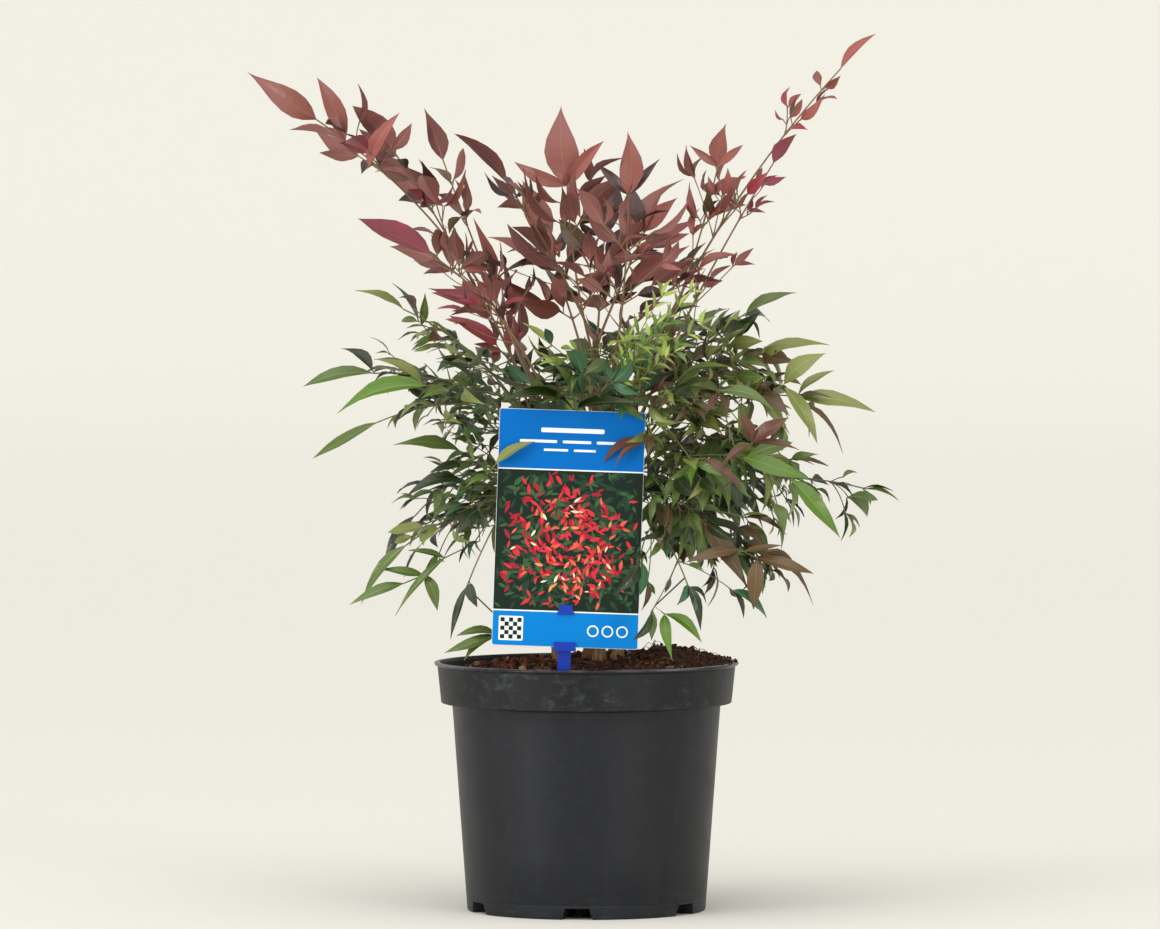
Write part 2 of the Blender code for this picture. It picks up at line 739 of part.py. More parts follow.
def side_leaves(spray, root, direction, twig, leaf, hand, key):
    """The ways in which one leaflet of the pair behind an end leaflet may grow."""
    draw = random.Random(f"{spray.name} {key} {hand} leaf")
    across, over = frame_of(direction, leaf_normal(spray, direction, LEAF_ROLL))
    place = root + direction * twig * draw.uniform(0.6, 0.78)
    angle = LATERAL_ANGLE_DEG + draw.uniform(-9, 9)
    tilt = draw.uniform(-28, 28)
    length = leaf * LATERAL_LEAF * draw.uniform(0.85, 1.1)
    for more_angle, more_tilt, shorter in LEAF_TRIES:
        turn, lean = math.radians(angle + more_angle), math.radians(tilt + more_tilt)
        aside = across * hand
        heading = direction * math.cos(turn) + aside * math.sin(turn) * math.cos(lean)
        heading += over * math.sin(turn) * math.sin(lean) + UP * spray.tier.lift * 0.6
        heading.normalize()
        normal = leaf_normal(spray, heading)
        size = length * shorter
        width = size * spray.tier.slim * 1.08
        yield Shoot(place, heading, normal, 0.0, size, width, LEAF_ROOT_RADIUS)


def first_clear(spray, space, ways):
    """The first of the ways in which the shoot misses everything else. None of them may do."""
    for shoot in ways:
        blade = shoot_shell(shoot, 0.1 * MM, OWN_START)
        if space.is_clear(spray.name, shoot_shell(shoot, CLEARANCE), blade):
            space.add(spray.name, shoot_shell(shoot, 0))
            return shoot
    return None


def grow(sprays, space):
    """{spray: its shells}. All stalks are placed first, then the side stalks, then the leaflets."""
    stalks, shoots = {}, {}
    for spray in sprays:
        centres = place_stalk(spray, space)
        if centres:
            space.add(spray.name, stalk_shell(spray, centres, 0))
            stalks[spray] = centres
            shoots[spray] = []
    for spray, centres in stalks.items():
        for pair in range(len(NODE_STATIONS)):
            for hand in (-1, 1):
                shoot = first_clear(spray, space, side_stalks(spray, centres, pair, hand))
                if shoot:
                    shoots[spray].append(shoot)
    for spray, centres in stalks.items():
        last = centres[-1] - centres[-2]
        ends = [(centres[-2], last.normalized(), last.length, spray.leaf)]
        ends += [(shoot.root, shoot.direction, shoot.twig, shoot.leaf) for shoot in shoots[spray]]
        for key, (root, direction, twig, leaf) in enumerate(ends):
            for hand in (-1, 1):
                ways = side_leaves(spray, root, direction, twig, leaf, hand, key)
                shoots[spray].append(first_clear(spray, space, ways))
    shells = {}
    for spray, centres in stalks.items():
        grown = [shoot_shell(shoot, 0) for shoot in shoots[spray] if shoot]
        shells[spray] = [stalk_shell(spray, centres, 0), *grown]
    return shells


def build_sprays():
    finishes = {
        "plume": material("red_leaf", (0.22, 0.045, 0.05), 0.5),
        "shoulder": material("green_leaf", (0.07, 0.14, 0.05), 0.45),
        "skirt": material("dark_leaf", (0.05, 0.11, 0.04), 0.45),
    }
    for spray, shells in grow(spray_list(), fixed_space()).items():
        fused(spray.name, shells, finishes[spray.tier.name])


def main():
    clear_scene()
    build_pot()
    build_soil()
    build_label()
    build_canes()
    build_sprays()


main()
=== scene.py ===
"""The looks of the heavenly bamboo in its black nursery pot.

The crown grows by the rule of the solids, with the same seeds, so each stalk stands where its solid
stands. It then goes on to finer twigs and leaflets within the same reach. Metres, +Z up. The viewer
stands on the -Y side, and the origin is the middle of the pot's underside.
"""

import itertools
import json
import math
import random
from collections import namedtuple

import bpy
import numpy as np
from mathutils import Matrix, Vector, noise
from mathutils.bvhtree import BVHTree

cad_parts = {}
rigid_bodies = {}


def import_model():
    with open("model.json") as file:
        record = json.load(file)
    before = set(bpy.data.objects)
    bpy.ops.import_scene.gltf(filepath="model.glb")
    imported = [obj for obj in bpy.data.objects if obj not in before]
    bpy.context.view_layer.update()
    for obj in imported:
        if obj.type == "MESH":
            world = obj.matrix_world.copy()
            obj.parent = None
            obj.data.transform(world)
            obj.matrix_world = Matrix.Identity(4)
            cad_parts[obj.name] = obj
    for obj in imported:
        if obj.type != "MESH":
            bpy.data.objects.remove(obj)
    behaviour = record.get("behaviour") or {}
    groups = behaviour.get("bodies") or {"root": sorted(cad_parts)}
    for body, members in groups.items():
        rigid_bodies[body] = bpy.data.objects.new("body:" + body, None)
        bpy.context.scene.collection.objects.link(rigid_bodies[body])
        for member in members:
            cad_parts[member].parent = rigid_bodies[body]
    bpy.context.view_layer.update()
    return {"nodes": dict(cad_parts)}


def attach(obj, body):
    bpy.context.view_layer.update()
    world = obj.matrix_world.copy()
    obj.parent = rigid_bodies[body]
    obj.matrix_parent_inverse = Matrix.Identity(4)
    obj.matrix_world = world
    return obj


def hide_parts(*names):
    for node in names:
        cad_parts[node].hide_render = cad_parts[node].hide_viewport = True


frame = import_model()

MM = 0.001
GAP = 0.3 * MM
UP = Vector((0, 0, 1))
STAND_UP = Matrix.Rotation(math.radians(90), 4, "X")

# Pot and soil, as in the solids.
SEGMENTS = 160
POT_HEIGHT = 155 * MM
LIP_RADIUS = 95 * MM
LIP_HEIGHT = 2 * MM
BAND_TOP_RADIUS = 93.3 * MM
BAND_FOOT_RADIUS = 90.7 * MM
BAND_HEIGHT = 26.5 * MM
BODY_TOP_RADIUS = 83.7 * MM
BODY_FOOT_RADIUS = 74.4 * MM
WALL = 1.6 * MM
FLOOR = 2 * MM
FOOT_CHANNELS = 6
FIRST_CHANNEL_DEG = -94.5
CHANNEL_HEIGHT = 7 * MM
CHANNEL_MOUTH = 28 * MM
CHANNEL_END = 10 * MM
CHANNEL_INNER_RADIUS = 42 * MM
CHANNEL_TAPER = 3 * MM
DRAIN_RADIUS = 4 * MM
DRAIN_PLACE = 60 * MM
SOIL_CROWN = 156 * MM
SOIL_CROWN_RADIUS = 37 * MM
SOIL_EDGE = 147 * MM
SOIL_HEAP = 9 * MM
SOIL_HEAP_DEG = 25
SOIL_FOOT = 12 * MM
CLOD_PLACE = Vector((47 * MM, -8 * MM, 0))
CLOD_RADIUS = 15 * MM
CLOD_HEIGHT = 8 * MM

# Canes.
RING_CANES = 5
CANE_RING_RADIUS = 21 * MM
CANE_LEAN = 12 * MM
CANE_TOP = 345 * MM
CANE_FOOT_RADIUS = 3.6 * MM
CANE_TIP_RADIUS = 2.1 * MM
CANE_FLARE = 1.45
CANE_FLARE_HEIGHT = 7 * MM
CANE_SIDES = 6
CANE_BOW = 4 * MM

# Label.
CARD_WIDTH = 90 * MM
CARD_HEIGHT = 146 * MM
CARD_THICKNESS = 0.9 * MM
CARD_CORNER = 1.3 * MM
CARD_FOOT = Vector((-13.5 * MM, -70 * MM, 168 * MM))
CARD_LEAN_BACK_DEG = 4
CARD_LEAN_RIGHT_DEG = 2

# Sprays: the growth rule and its numbers are those of the solids.
Tier = namedtuple("Tier", "name first rise lift leaf slim")
PLUME = Tier("plume", 1.0, 66, 0.42, 54 * MM, 0.42)
SHOULDER = Tier("shoulder", 0.82, 60, -0.12, 52 * MM, 0.34)
SKIRT = Tier("skirt", 0.62, 34, -0.34, 50 * MM, 0.33)
CANE_STEP = 0.07
PLUME_TIPS = (
    (186, 209, 517, 62, 1.0),
    (202, 150, 432, 40, 0.85),
    (186, 74, 486, 50, 0.85),
    (184, 141, 503, 60, 0.9),
    (246, 30, 497, 75, 1.0),
    (294, 62, 482, -60, 0.95),
    (356, 178, 545, 60, 0.62),
    (8, 88, 488, 70, 0.66),
    (186, 100, 497, 60, 0.8),
    (349, 130, 484, -50, 0.48),
    (340, 97, 410, 40, 0.5),
)
SHOULDER_TIPS = (
    (188, 144, 386, -30, 1.0),
    (177, 178, 327, -35, 0.85),
    (198, 163, 310, -45, 1.0),
    (184, 173, 282, -30, 1.0),
    (9, 130, 388, 30, 1.0),
    (357, 150, 355, 35, 1.0),
    (350, 182, 310, 45, 1.0),
    (330, 134, 312, 40, 0.9),
    (6, 168, 288, 25, 0.7),
    (262, 100, 352, 10, 0.9),
    (288, 104, 358, -15, 0.9),
    (218, 112, 345, -30, 0.9),
    (318, 112, 345, 30, 0.9),
)
SKIRT_TIPS = (
    (348, 125, 286, 40, 1.0),
    (196, 122, 296, -35, 1.0),
    (335, 150, 272, 45, 1.0),
    (12, 150, 266, 25, 0.9),
    (212, 128, 266, -35, 0.9),
    (2, 196, 256, 20, 0.65),
    (343, 168, 238, 45, 1.0),
    (322, 128, 200, 40, 0.95),
    (352, 145, 190, 25, 0.9),
    (190, 132, 214, -35, 0.9),
    (198, 152, 196, -40, 0.95),
    (222, 115, 172, -20, 0.9),
    (308, 115, 180, 30, 0.9),
)
Fill = namedtuple("Fill", "tier count start_deg end_deg reach height spread")
BACK = (
    Fill(PLUME, 4, 45, 150, 90 * MM, 440 * MM, 18 * MM),
    Fill(SHOULDER, 5, 35, 155, 150 * MM, 335 * MM, 24 * MM),
    Fill(SKIRT, 4, 40, 155, 148 * MM, 218 * MM, 20 * MM),
)
STALK_STATIONS = (0, 0.15, 0.30, 0.46, 0.77, 1.0)
NODE_STATIONS = (3, 4)
STALK_RADIUS = 1.4 * MM
STALK_TIP_RADIUS = 0.8 * MM
SIDE_STALK_RADIUS = 0.45 * MM
SIDE_STALK_SWELL = 1.4
STALK_ROLL = 0.3
LEAF_ROLL = 0.6
SIDE_ANGLE_DEG = 56
SIDE_ANGLE_STEP_DEG = 8
SIDE_LENGTH = 0.38
SIDE_LENGTH_STEP = 0.12
LEAF_THICKNESS = 0.03
LEAF_WIDEST = 0.40
LEAF_DROOP = 0.10
LEAF_ROOT = 3 * MM
LEAF_ROOT_RADIUS = 0.26 * MM
LATERAL_LEAF = 0.76
LATERAL_ANGLE_DEG = 48
CLEARANCE = 0.35 * MM
OWN_START = 3.5 * MM
LIFTS = (0, 8 * MM, -8 * MM, 18 * MM, 32 * MM)
SWAYS = (0, 9 * MM, -9 * MM, 18 * MM, -18 * MM, 27 * MM, -27 * MM)
SIDE_TRIES = (
    (0, 0, 1),
    (0, 0.3, 1),
    (0, -0.3, 1),
    (14, 0, 1),
    (-14, 0, 1),
    (0, 0.3, 0.6),
    (0, -0.3, 0.6),
    (14, 0, 0.4),
)
LEAF_TRIES = (
    (0, 0, 1),
    (0, 30, 1),
    (0, -30, 1),
    (12, 0, 0.9),
    (-12, 0, 0.9),
    (0, 45, 0.8),
    (0, -45, 0.8),
)
Spray = namedtuple("Spray", "name tier tip roll leaf cane share")
Shoot = namedtuple("Shoot", "root direction normal twig leaf width radius")
Shell = namedtuple("Shell", "points faces")

# The finer growth. Each leaflet of the solids becomes a smaller one on a longer twig, which keeps its
# reach, and further shoots grow in pairs: where along the stem they sit, their leaflet and their twig
# as shares of the stem's own leaflet, and the angle at which they leave it.
Finer = namedtuple("Finer", "place leaf twig angle_deg")
TRIO = Finer(0.97, 0.74, 0.06, 48)
LOW_SHOOT = Finer(0.36, 0.62, 0.42, 55)
SMALL_TRIO = Finer(0.96, 0.74, 0.06, 46)
LOW_SHOOT_FROM = 23 * MM
SECOND_FROM = 19 * MM
SECOND_CHANCE = 0.7
INNER_CHANCE = 0.9
FINE_CLEARANCE = 0.25 * MM
SMALLEST_LEAF = 8 * MM

# The habit of each tier: how often a further shoot grows, how far leaflets roll and tilt at random,
# what share of the solids' leaflets the end, side and pair leaflets keep, and how much broader they
# are. Inner sprigs grow low on the stalk, at the given stations.
Habit = namedtuple("Habit", "chance roll_deg tilt_deg sag end side pair broad inner")
Inner = namedtuple("Inner", "stations chance sprig")
GREEN_HABIT = Habit(
    chance=0.92, roll_deg=30, tilt_deg=26, sag=-0.20,
    end=(0.62, 0.88), side=(0.56, 0.82), pair=(0.54, 0.86), broad=(0.82, 1.26),
    inner=Inner((0.20, 0.33, 0.61), 1.0, Finer(0.0, 0.50, 0.62, 60)),
)
HABITS = {
    "plume": Habit(
        chance=0.20, roll_deg=44, tilt_deg=34, sag=0.0,
        end=(0.80, 1.0), side=(0.66, 0.96), pair=(0.54, 0.90), broad=(0.72, 1.0),
        inner=Inner((0.28, 0.42), 0.30, Finer(0.0, 0.38, 0.60, 52)),
    ),
    "shoulder": GREEN_HABIT,
    "skirt": GREEN_HABIT._replace(
        inner=Inner((0.20, 0.33, 0.50, 0.61, 0.86), 1.0, Finer(0.0, 0.50, 0.62, 60)),
    ),
}
# The open sprays: how far to the left they stand, how often a further shoot grows on them, the size of
# their leaflets, and how far those roll.
OPEN_SIDE = -60 * MM
OPEN_CHANCE = 0.20
OPEN_SIZE = 0.88
OPEN_ROLL_DEG = 18
# Sprays whose leaflets are smaller or larger than those of their tier.
LEAF_SIZES = {
    "shoulder_11": 0.56, "skirt_12": 0.60, "skirt_13": 0.60, "plume_06": 0.80, "plume_01": 1.10,
    "plume_02": 1.10, "plume_04": 1.08, "skirt_08": 1.12, "skirt_09": 1.12,
}
# How far a shoot keeps its slope up or down: less than 1 lays it more level than its solid's.
OPEN_SLOPE = 0.35
PLUME_SLOPE = 0.62
# Sprays whose end leaflet is slimmer or broader than those of their tier.
SLIM_ENDS = {
    "plume_07": 0.55, "plume_01": 0.95, "plume_03": 0.66, "plume_05": 1.10, "skirt_11": 0.70,
    "skirt_12": 0.75,
}
# The end leaflets that turn their upper side to the front, and those of them that stand in threes.
FRONT_FACING = ("plume_01", "plume_05", "plume_06", "plume_08")
FRONT_THREES = ("plume_05", "plume_06", "plume_08")

# Colour codes of the leaf tints: upper side, underside, midrib, and the roughness of the upper side.
# The undersides of rose, ruby, wine, dark_wine, olive and mid are painted darker than their upper
# sides, as painted shade of leaves seen from below.
Tint = namedtuple("Tint", "top under rib roughness")
TINTS = {
    "rose": Tint("96534a", "82504a", "a86c60", 0.42),
    "ruby": Tint("94363f", "7e3842", "a25054", 0.40),
    "wine": Tint("82493f", "683a34", "925a50", 0.38),
    # dark_wine is darker than the leaves' own red, partly as painted shade for the plume's shaded
    # leaves.
    "dark_wine": Tint("3c1e1a", "341a16", "5a362e", 0.36),
    "umber": Tint("4c3a1e", "62502e", "745e38", 0.38),
    "bronze": Tint("5c4626", "665234", "7e6640", 0.38),
    "russet": Tint("5e3a2c", "6a4a38", "7c5a46", 0.40),
    "olive": Tint("788140", "6e7842", "9aa266", 0.34),
    "mid": Tint("54692c", "52623a", "84945a", 0.32),
    # deep is darker than the leaves' own green, partly as painted shade for the crown's shaded leaves.
    "deep": Tint("22300f", "34422a", "52643c", 0.30),
    "sea": Tint("34623e", "45684a", "6e9c72", 0.28),
    "bright": Tint("587a24", "6c8638", "809a4c", 0.34),
    "lime": Tint("98ac4a", "a8b85e", "b8c270", 0.40),
}
SIBLINGS = {
    "rose": ("wine", "ruby"),
    "ruby": ("rose", "wine"),
    "wine": ("rose", "dark_wine"),
    "dark_wine": ("wine", "umber"),
    "umber": ("bronze", "olive"),
    "bronze": ("umber", "olive"),
    "russet": ("umber", "olive"),
    "olive": ("mid", "umber"),
    "mid": ("deep", "olive"),
    "deep": ("mid", "sea"),
    "sea": ("mid", "deep"),
    "bright": ("mid", "olive"),
    "lime": ("olive", "mid"),
}
# How often a leaflet takes each of its spray's four tints.
TINT_SHARES = (46, 24, 21, 9)
SPRAY_TINTS = {
    "plume": (
        "rose ruby wine rose wine rose rose wine wine ruby wine wine dark_wine wine rose"
    ).split(),
    "shoulder": (
        "olive mid mid mid mid olive olive olive bronze sea lime deep mid"
        " mid deep olive deep mid"
    ).split(),
    "skirt": (
        "deep mid mid mid deep mid mid umber bronze deep olive deep deep"
        " deep mid olive deep"
    ).split(),
}
# Sprays whose end leaflet, or whose other leaflets, have tints of their own.
END_TINTS = {
    "shoulder_03": "bright", "shoulder_08": "mid", "skirt_03": "bright", "skirt_07": "bright",
    "skirt_11": "mid", "plume_01": "wine", "plume_02": "ruby", "plume_05": "wine", "plume_06": "wine",
}
MIXES = {
    "shoulder_08": ("olive", "russet", "mid", "umber"),
    "shoulder_11": ("lime", "lime", "olive", "sea"),
    "skirt_03": ("mid", "bright", "olive", "deep"),
    "skirt_08": ("deep", "bronze", "mid", "umber"),
    "skirt_09": ("bronze", "mid", "deep", "umber"),
    "plume_01": ("rose", "wine", "dark_wine", "ruby"),
    "plume_02": ("wine", "rose", "dark_wine", "ruby"),
    "plume_03": ("wine", "rose", "dark_wine", "umber"),
    "plume_04": ("rose", "wine", "dark_wine", "umber"),
    "plume_05": ("wine", "rose", "dark_wine", "umber"),
    "plume_06": ("rose", "wine", "dark_wine", "ruby"),
    "plume_09": ("rose", "dark_wine", "wine", "bronze"),
}
ACCENT = {"plume": "umber", "shoulder": "umber", "skirt": "bronze"}
STALK_COLOURS = {"plume": "7a5f42", "shoulder": "6c6c40", "skirt": "5a6038"}
PIECE_OF_TIER = {"plume": "red", "shoulder": "green", "skirt": "dark"}


def rgb(code):
    """A colour code such as a85a5c as linear values."""
    shares = [int(code[i:i + 2], 16) / 255 for i in (0, 2, 4)]
    return tuple(s / 12.92 if s <= 0.04045 else ((s + 0.055) / 1.055) ** 2.4 for s in shares)


class Finish:
    """A material with a Principled shader, and short calls that add nodes to it."""

    def __init__(self, name, colour, roughness, **values):
        self.made = bpy.data.materials.new(name)
        self.made.use_nodes = True
        self.made.diffuse_color = (*rgb(colour), 1)
        self.tree = self.made.node_tree
        self.shader = self.tree.nodes["Principled BSDF"]
        self.set(self.shader, {"Base Color": (*rgb(colour), 1), "Roughness": roughness})
        self.set(self.shader, {key.replace("_", " "): value for key, value in values.items()})

    def set(self, node, values):
        for key, value in values.items():
            if isinstance(value, bpy.types.NodeSocket):
                self.tree.links.new(value, node.inputs[key])
            else:
                node.inputs[key].default_value = value

    def add(self, kind, values=None, **settings):
        node = self.tree.nodes.new("ShaderNode" + kind)
        for key, value in settings.items():
            setattr(node, key, value)
        self.set(node, values or {})
        return node

    def math(self, operation, *values):
        node = self.add("Math", operation=operation)
        self.set(node, dict(enumerate(values)))
        return node.outputs[0]

    def noise(self, scale, detail=4, roughness=0.55, stretch=None):
        place = self.add("TexCoord").outputs["Object"]
        if stretch:
            place = self.add("Mapping", {"Vector": place, "Scale": stretch}).outputs[0]
        values = {"Vector": place, "Scale": scale, "Detail": detail, "Roughness": roughness}
        return self.add("TexNoise", values).outputs["Fac"]

    def height(self):
        """How high a point of the surface is, in metres."""
        return self.add("SeparateXYZ", {0: self.add("TexCoord").outputs["Object"]}).outputs["Z"]

    def fade(self, value, start, end, low=0.0, high=1.0):
        """low where the value is at start, high where it is at end, and even between them."""
        return self.add("MapRange", {0: value, 1: start, 2: end, 3: low, 4: high}).outputs[0]

    def spots(self, start, end, *grain):
        """Patches of noise: 0 where it is below start, and 1 above end."""
        return self.ramp(self.noise(*grain), (start, 0.0), (end, 1.0))

    def mix(self, share, first, second):
        return self.add("Mix", {0: share, 6: first, 7: second}, data_type="RGBA").outputs[2]

    def ramp(self, value, *stops):
        """stops are (place, colour code), or (place, grey value)."""
        node = self.add("ValToRGB", {"Fac": value})
        elements = node.color_ramp.elements
        while len(elements) < len(stops):
            elements.new(0.5)
        for element, (place, colour) in zip(elements, stops):
            element.position = place
            grey = (colour, colour, colour)
            element.color = (*(rgb(colour) if isinstance(colour, str) else grey), 1)
        return node.outputs["Color"]

    def bump(self, height, distance, strength=1.0, below=None):
        values = {"Height": height, "Distance": distance, "Strength": strength}
        if below:
            values["Normal"] = below
        return self.add("Bump", values).outputs["Normal"]


VEIN_SLANT = 0.42
VEIN_SCALE = 2.9
VEIN_SHARPNESS = 5.0


def leaf_finish(name, colour, roughness, relief):
    """A plain base colour, with the side veins and a fine grain in the relief."""
    leaf = Finish(name, colour, roughness, Specular_IOR_Level=0.48)
    uv = leaf.add("UVMap", uv_map="leaf").outputs[0]
    parts = leaf.add("SeparateXYZ", {0: uv})
    aside = leaf.math("ABSOLUTE", leaf.math("SUBTRACT", parts.outputs[0], 0.5))
    along = leaf.math("SUBTRACT", parts.outputs[1], leaf.math("MULTIPLY", aside, VEIN_SLANT))
    place = leaf.add("CombineXYZ", {0: along}).outputs[0]
    wave = leaf.add("TexWave", {"Vector": place, "Scale": VEIN_SCALE, "Distortion": 0.0})
    veins = leaf.math("POWER", wave.outputs["Fac"], VEIN_SHARPNESS)
    grain = leaf.bump(leaf.noise(900, 2), 0.05 * MM, 0.35)
    leaf.set(leaf.shader, {"Normal": leaf.bump(veins, relief, 0.6, grain)})
    return leaf.made


def mesh_piece(name, points, faces, finishes, which=None, sharp_deg=50):
    """A piece of the visual model from arrays. which gives each face's place in finishes."""
    mesh = bpy.data.meshes.new(name)
    mesh.from_pydata(np.asarray(points).tolist(), [], faces)
    for finish in finishes:
        mesh.materials.append(finish)
    if which is not None:
        mesh.polygons.foreach_set("material_index", np.asarray(which, np.int32))
    mesh.shade_smooth()
    mesh.set_sharp_from_angle(angle=math.radians(sharp_deg))
    made = bpy.data.objects.new(name, mesh)
    bpy.context.scene.collection.objects.link(made)
    return made


def show(made, slot, *nodes):
    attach(made, "root")
    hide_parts(*nodes)
    return made


class Soup:
    """Shells gathered into one piece, with the finish of each face."""

    def __init__(self):
        self.points, self.faces, self.which = [], [], []

    def add(self, points, faces, finish=0):
        first = len(self.points)
        self.points += [tuple(p) for p in points]
        self.faces += [tuple(first + i for i in face) for face in faces]
        self.which += [finish] * len(faces)

    def piece(self, name, finishes, sharp_deg=50):
        return mesh_piece(name, self.points, self.faces, finishes, self.which, sharp_deg)


def polar(azimuth_deg, radius, height=0.0):
    angle = math.radians(azimuth_deg)
    return Vector((radius * math.cos(angle), radius * math.sin(angle), height))


def turned(outline, segments=SEGMENTS):
    """A solid of revolution. The outline runs up from a point on the axis to another one."""
    points = [Vector((0, 0, outline[0][1]))]
    rings = outline[1:-1]
    for radius, height in rings:
        points += [polar(360 * i / segments, radius, height) for i in range(segments)]
    points.append(Vector((0, 0, outline[-1][1])))
    return Shell(points, ring_faces(len(rings), segments))


def ring_faces(rings, segments):
    """Faces of rings of points between a first and a last single point."""
    last = rings * segments + 1
    faces = []
    for i in range(segments):
        j = (i + 1) % segments
        faces.append((0, 1 + j, 1 + i))
        for k in range(rings - 1):
            low, high = 1 + k * segments, 1 + (k + 1) * segments
            faces.append((low + i, low + j, high + j, high + i))
        faces.append((last, last - segments + i, last - segments + j))
    return faces


def prism(outline, low, high):
    """A flat outline, counter-clockwise from above, made solid between two heights."""
    count = len(outline)
    points = [Vector((x, y, low)) for x, y in outline]
    points += [Vector((x, y, high)) for x, y in outline]
    sides = [(i, (i + 1) % count, count + (i + 1) % count, count + i) for i in range(count)]
    return Shell(points, [tuple(reversed(range(count))), tuple(range(count, 2 * count)), *sides])


def block(low, high):
    (x0, y0, z0), (x1, y1, z1) = low, high
    return prism([(x0, y0), (x1, y0), (x1, y1), (x0, y1)], z0, z1)


def joined(shells):
    points, faces = [], []
    for shell in shells:
        faces += [tuple(i + len(points) for i in face) for face in shell.faces]
        points += shell.points
    return Shell(points, faces)


def moved(shell, matrix):
    return Shell([matrix @ p for p in shell.points], shell.faces)


def tube(centres, radii, sides=6):
    """A closed round tube along the centres."""
    centres = np.array([tuple(c) for c in centres])
    ways = np.gradient(centres, axis=0)
    ways /= np.linalg.norm(ways, axis=1)[:, None]
    normal = np.cross(ways[0], (0.31, 0.87, 0.38))
    turns = 2 * np.pi * np.arange(sides) / sides
    points = [centres[0]]
    for centre, way, radius in zip(centres, ways, radii):
        normal = normal - way * normal.dot(way)
        normal /= np.linalg.norm(normal)
        aside = np.cross(way, normal)
        circle = np.outer(np.cos(turns), normal) + np.outer(np.sin(turns), aside)
        points += list(centre + radius * circle)
    points.append(centres[-1] + ways[-1] * radii[-1] * 0.6)
    return Shell(points, ring_faces(len(centres), sides))


def fillet(centre_radius, centre_height, size, start_deg, end_deg, steps=5):
    """Points of an arc in an outline."""
    turns = [math.radians(start_deg + (end_deg - start_deg) * i / steps) for i in range(steps + 1)]
    return [(centre_radius + size * math.cos(a), centre_height + size * math.sin(a)) for a in turns]


def pot_outline():
    """The outside of the pot, with its rounded foot, a fine groove, the band and the rolled lip."""
    band_foot = POT_HEIGHT - BAND_HEIGHT
    slope = (BODY_TOP_RADIUS - BODY_FOOT_RADIUS) / band_foot
    foot, edge, groove, lip = 1.2 * MM, 0.8 * MM, 8.6 * MM, LIP_HEIGHT / 2

    def wall(height):
        return BODY_FOOT_RADIUS + slope * height

    return [
        (0, 0),
        *fillet(BODY_FOOT_RADIUS - foot, foot, foot, -90, -4),
        (wall(groove - 0.6 * MM), groove - 0.6 * MM),
        (wall(groove) - 0.35 * MM, groove),
        (wall(groove + 0.6 * MM), groove + 0.6 * MM),
        *[(wall(band_foot * share), band_foot * share) for share in (0.3, 0.6, 0.9)],
        *fillet(BODY_TOP_RADIUS + 1.2 * MM, band_foot - 0.9 * MM, 1.2 * MM, 176, 100, 4),
        *fillet(BAND_FOOT_RADIUS - edge, band_foot + 1 * MM + edge, edge, -80, 0),
        (BAND_TOP_RADIUS - 0.3 * MM, POT_HEIGHT - LIP_HEIGHT - 0.6 * MM),
        *fillet(LIP_RADIUS - lip, POT_HEIGHT - lip, lip, -60, 80, 7),
        (0, POT_HEIGHT),
    ]


def cavity_radius(height):
    """Radius inside the pot's wall, which steps out behind the band."""
    step = POT_HEIGHT - BAND_HEIGHT + WALL
    if height < step:
        share = height / (POT_HEIGHT - BAND_HEIGHT)
        return BODY_FOOT_RADIUS + (BODY_TOP_RADIUS - BODY_FOOT_RADIUS) * share - WALL
    share = (height - step) / (POT_HEIGHT - step)
    return BAND_FOOT_RADIUS + (BAND_TOP_RADIUS - BAND_FOOT_RADIUS) * share - WALL


def cavity_outline(inset, top):
    step = POT_HEIGHT - BAND_HEIGHT + WALL
    low = FLOOR + inset
    return [
        (0, low),
        (cavity_radius(low) - inset, low),
        (cavity_radius(step - 1 * MM) - inset, step - 1 * MM + inset),
        (cavity_radius(step) - inset, step + inset),
        (cavity_radius(top) - inset, top),
    ]


def channels(grown):
    """The drainage channels that run in from the notches under the pot's edge."""
    made = []
    mouth, end = CHANNEL_MOUTH / 2 + grown, CHANNEL_END / 2 + grown
    near, far = CHANNEL_INNER_RADIUS - grown, LIP_RADIUS
    for i in range(FOOT_CHANNELS):
        outline = [(near, -end), (far, -mouth), (far, mouth), (near, end)]
        solid = prism(outline, -1 * MM, CHANNEL_HEIGHT + grown)
        for p in solid.points[4:]:
            p.y -= math.copysign(CHANNEL_TAPER, p.y)
        turn = math.radians(FIRST_CHANNEL_DEG + 360 * i / FOOT_CHANNELS)
        made.append(moved(solid, Matrix.Rotation(turn, 4, "Z")))
    return joined(made)


def drains():
    made = []
    for i in range(FOOT_CHANNELS):
        low, high = 5 * MM, 11 * MM
        hole = turned([(0, low), (DRAIN_RADIUS, low), (DRAIN_RADIUS, high), (0, high)], 20)
        place = polar(FIRST_CHANNEL_DEG + 360 * i / FOOT_CHANNELS, DRAIN_PLACE)
        made.append(moved(hole, Matrix.Translation(place)))
    return joined(made)


def cut(target, *shells):
    """Boolean cuts by the shells, one after the other, applied at once."""
    for shell in shells:
        cutter = mesh_piece("cutter", shell.points, shell.faces, [])
        modifier = target.modifiers.new("Cut", "BOOLEAN")
        modifier.operation = "DIFFERENCE"
        modifier.solver = "EXACT"
        modifier.object = cutter
        graph = bpy.context.evaluated_depsgraph_get()
        whole = bpy.data.meshes.new_from_object(target.evaluated_get(graph))
        target.modifiers.clear()
        target.data = whole
        bpy.data.objects.remove(cutter, do_unlink=True)


# The pot's finish. Heights from the ground, in metres, where each mark begins and where it is full.
BAND_FADE = (0.126, 0.130)
FOOT_FADE = (0.02, 0.0)
LIP_FADE = (0.1525, 0.1535)
LIP_HIGHLIGHT_FADE = (0.1536, 0.1545)
# How strong the dust is: at the foot and on the plain wall as shares of the band's, its smudges as a
# share of its specks, all of it together, the streaks down the wall, and the painted highlight along
# the lip's top edge.
FOOT_DUST = 0.5
WALL_DUST = 0.07
SMUDGES = 0.8
DUST = 0.30
STREAKS = 0.03
PAINTED_LIP_HIGHLIGHT = 0.45
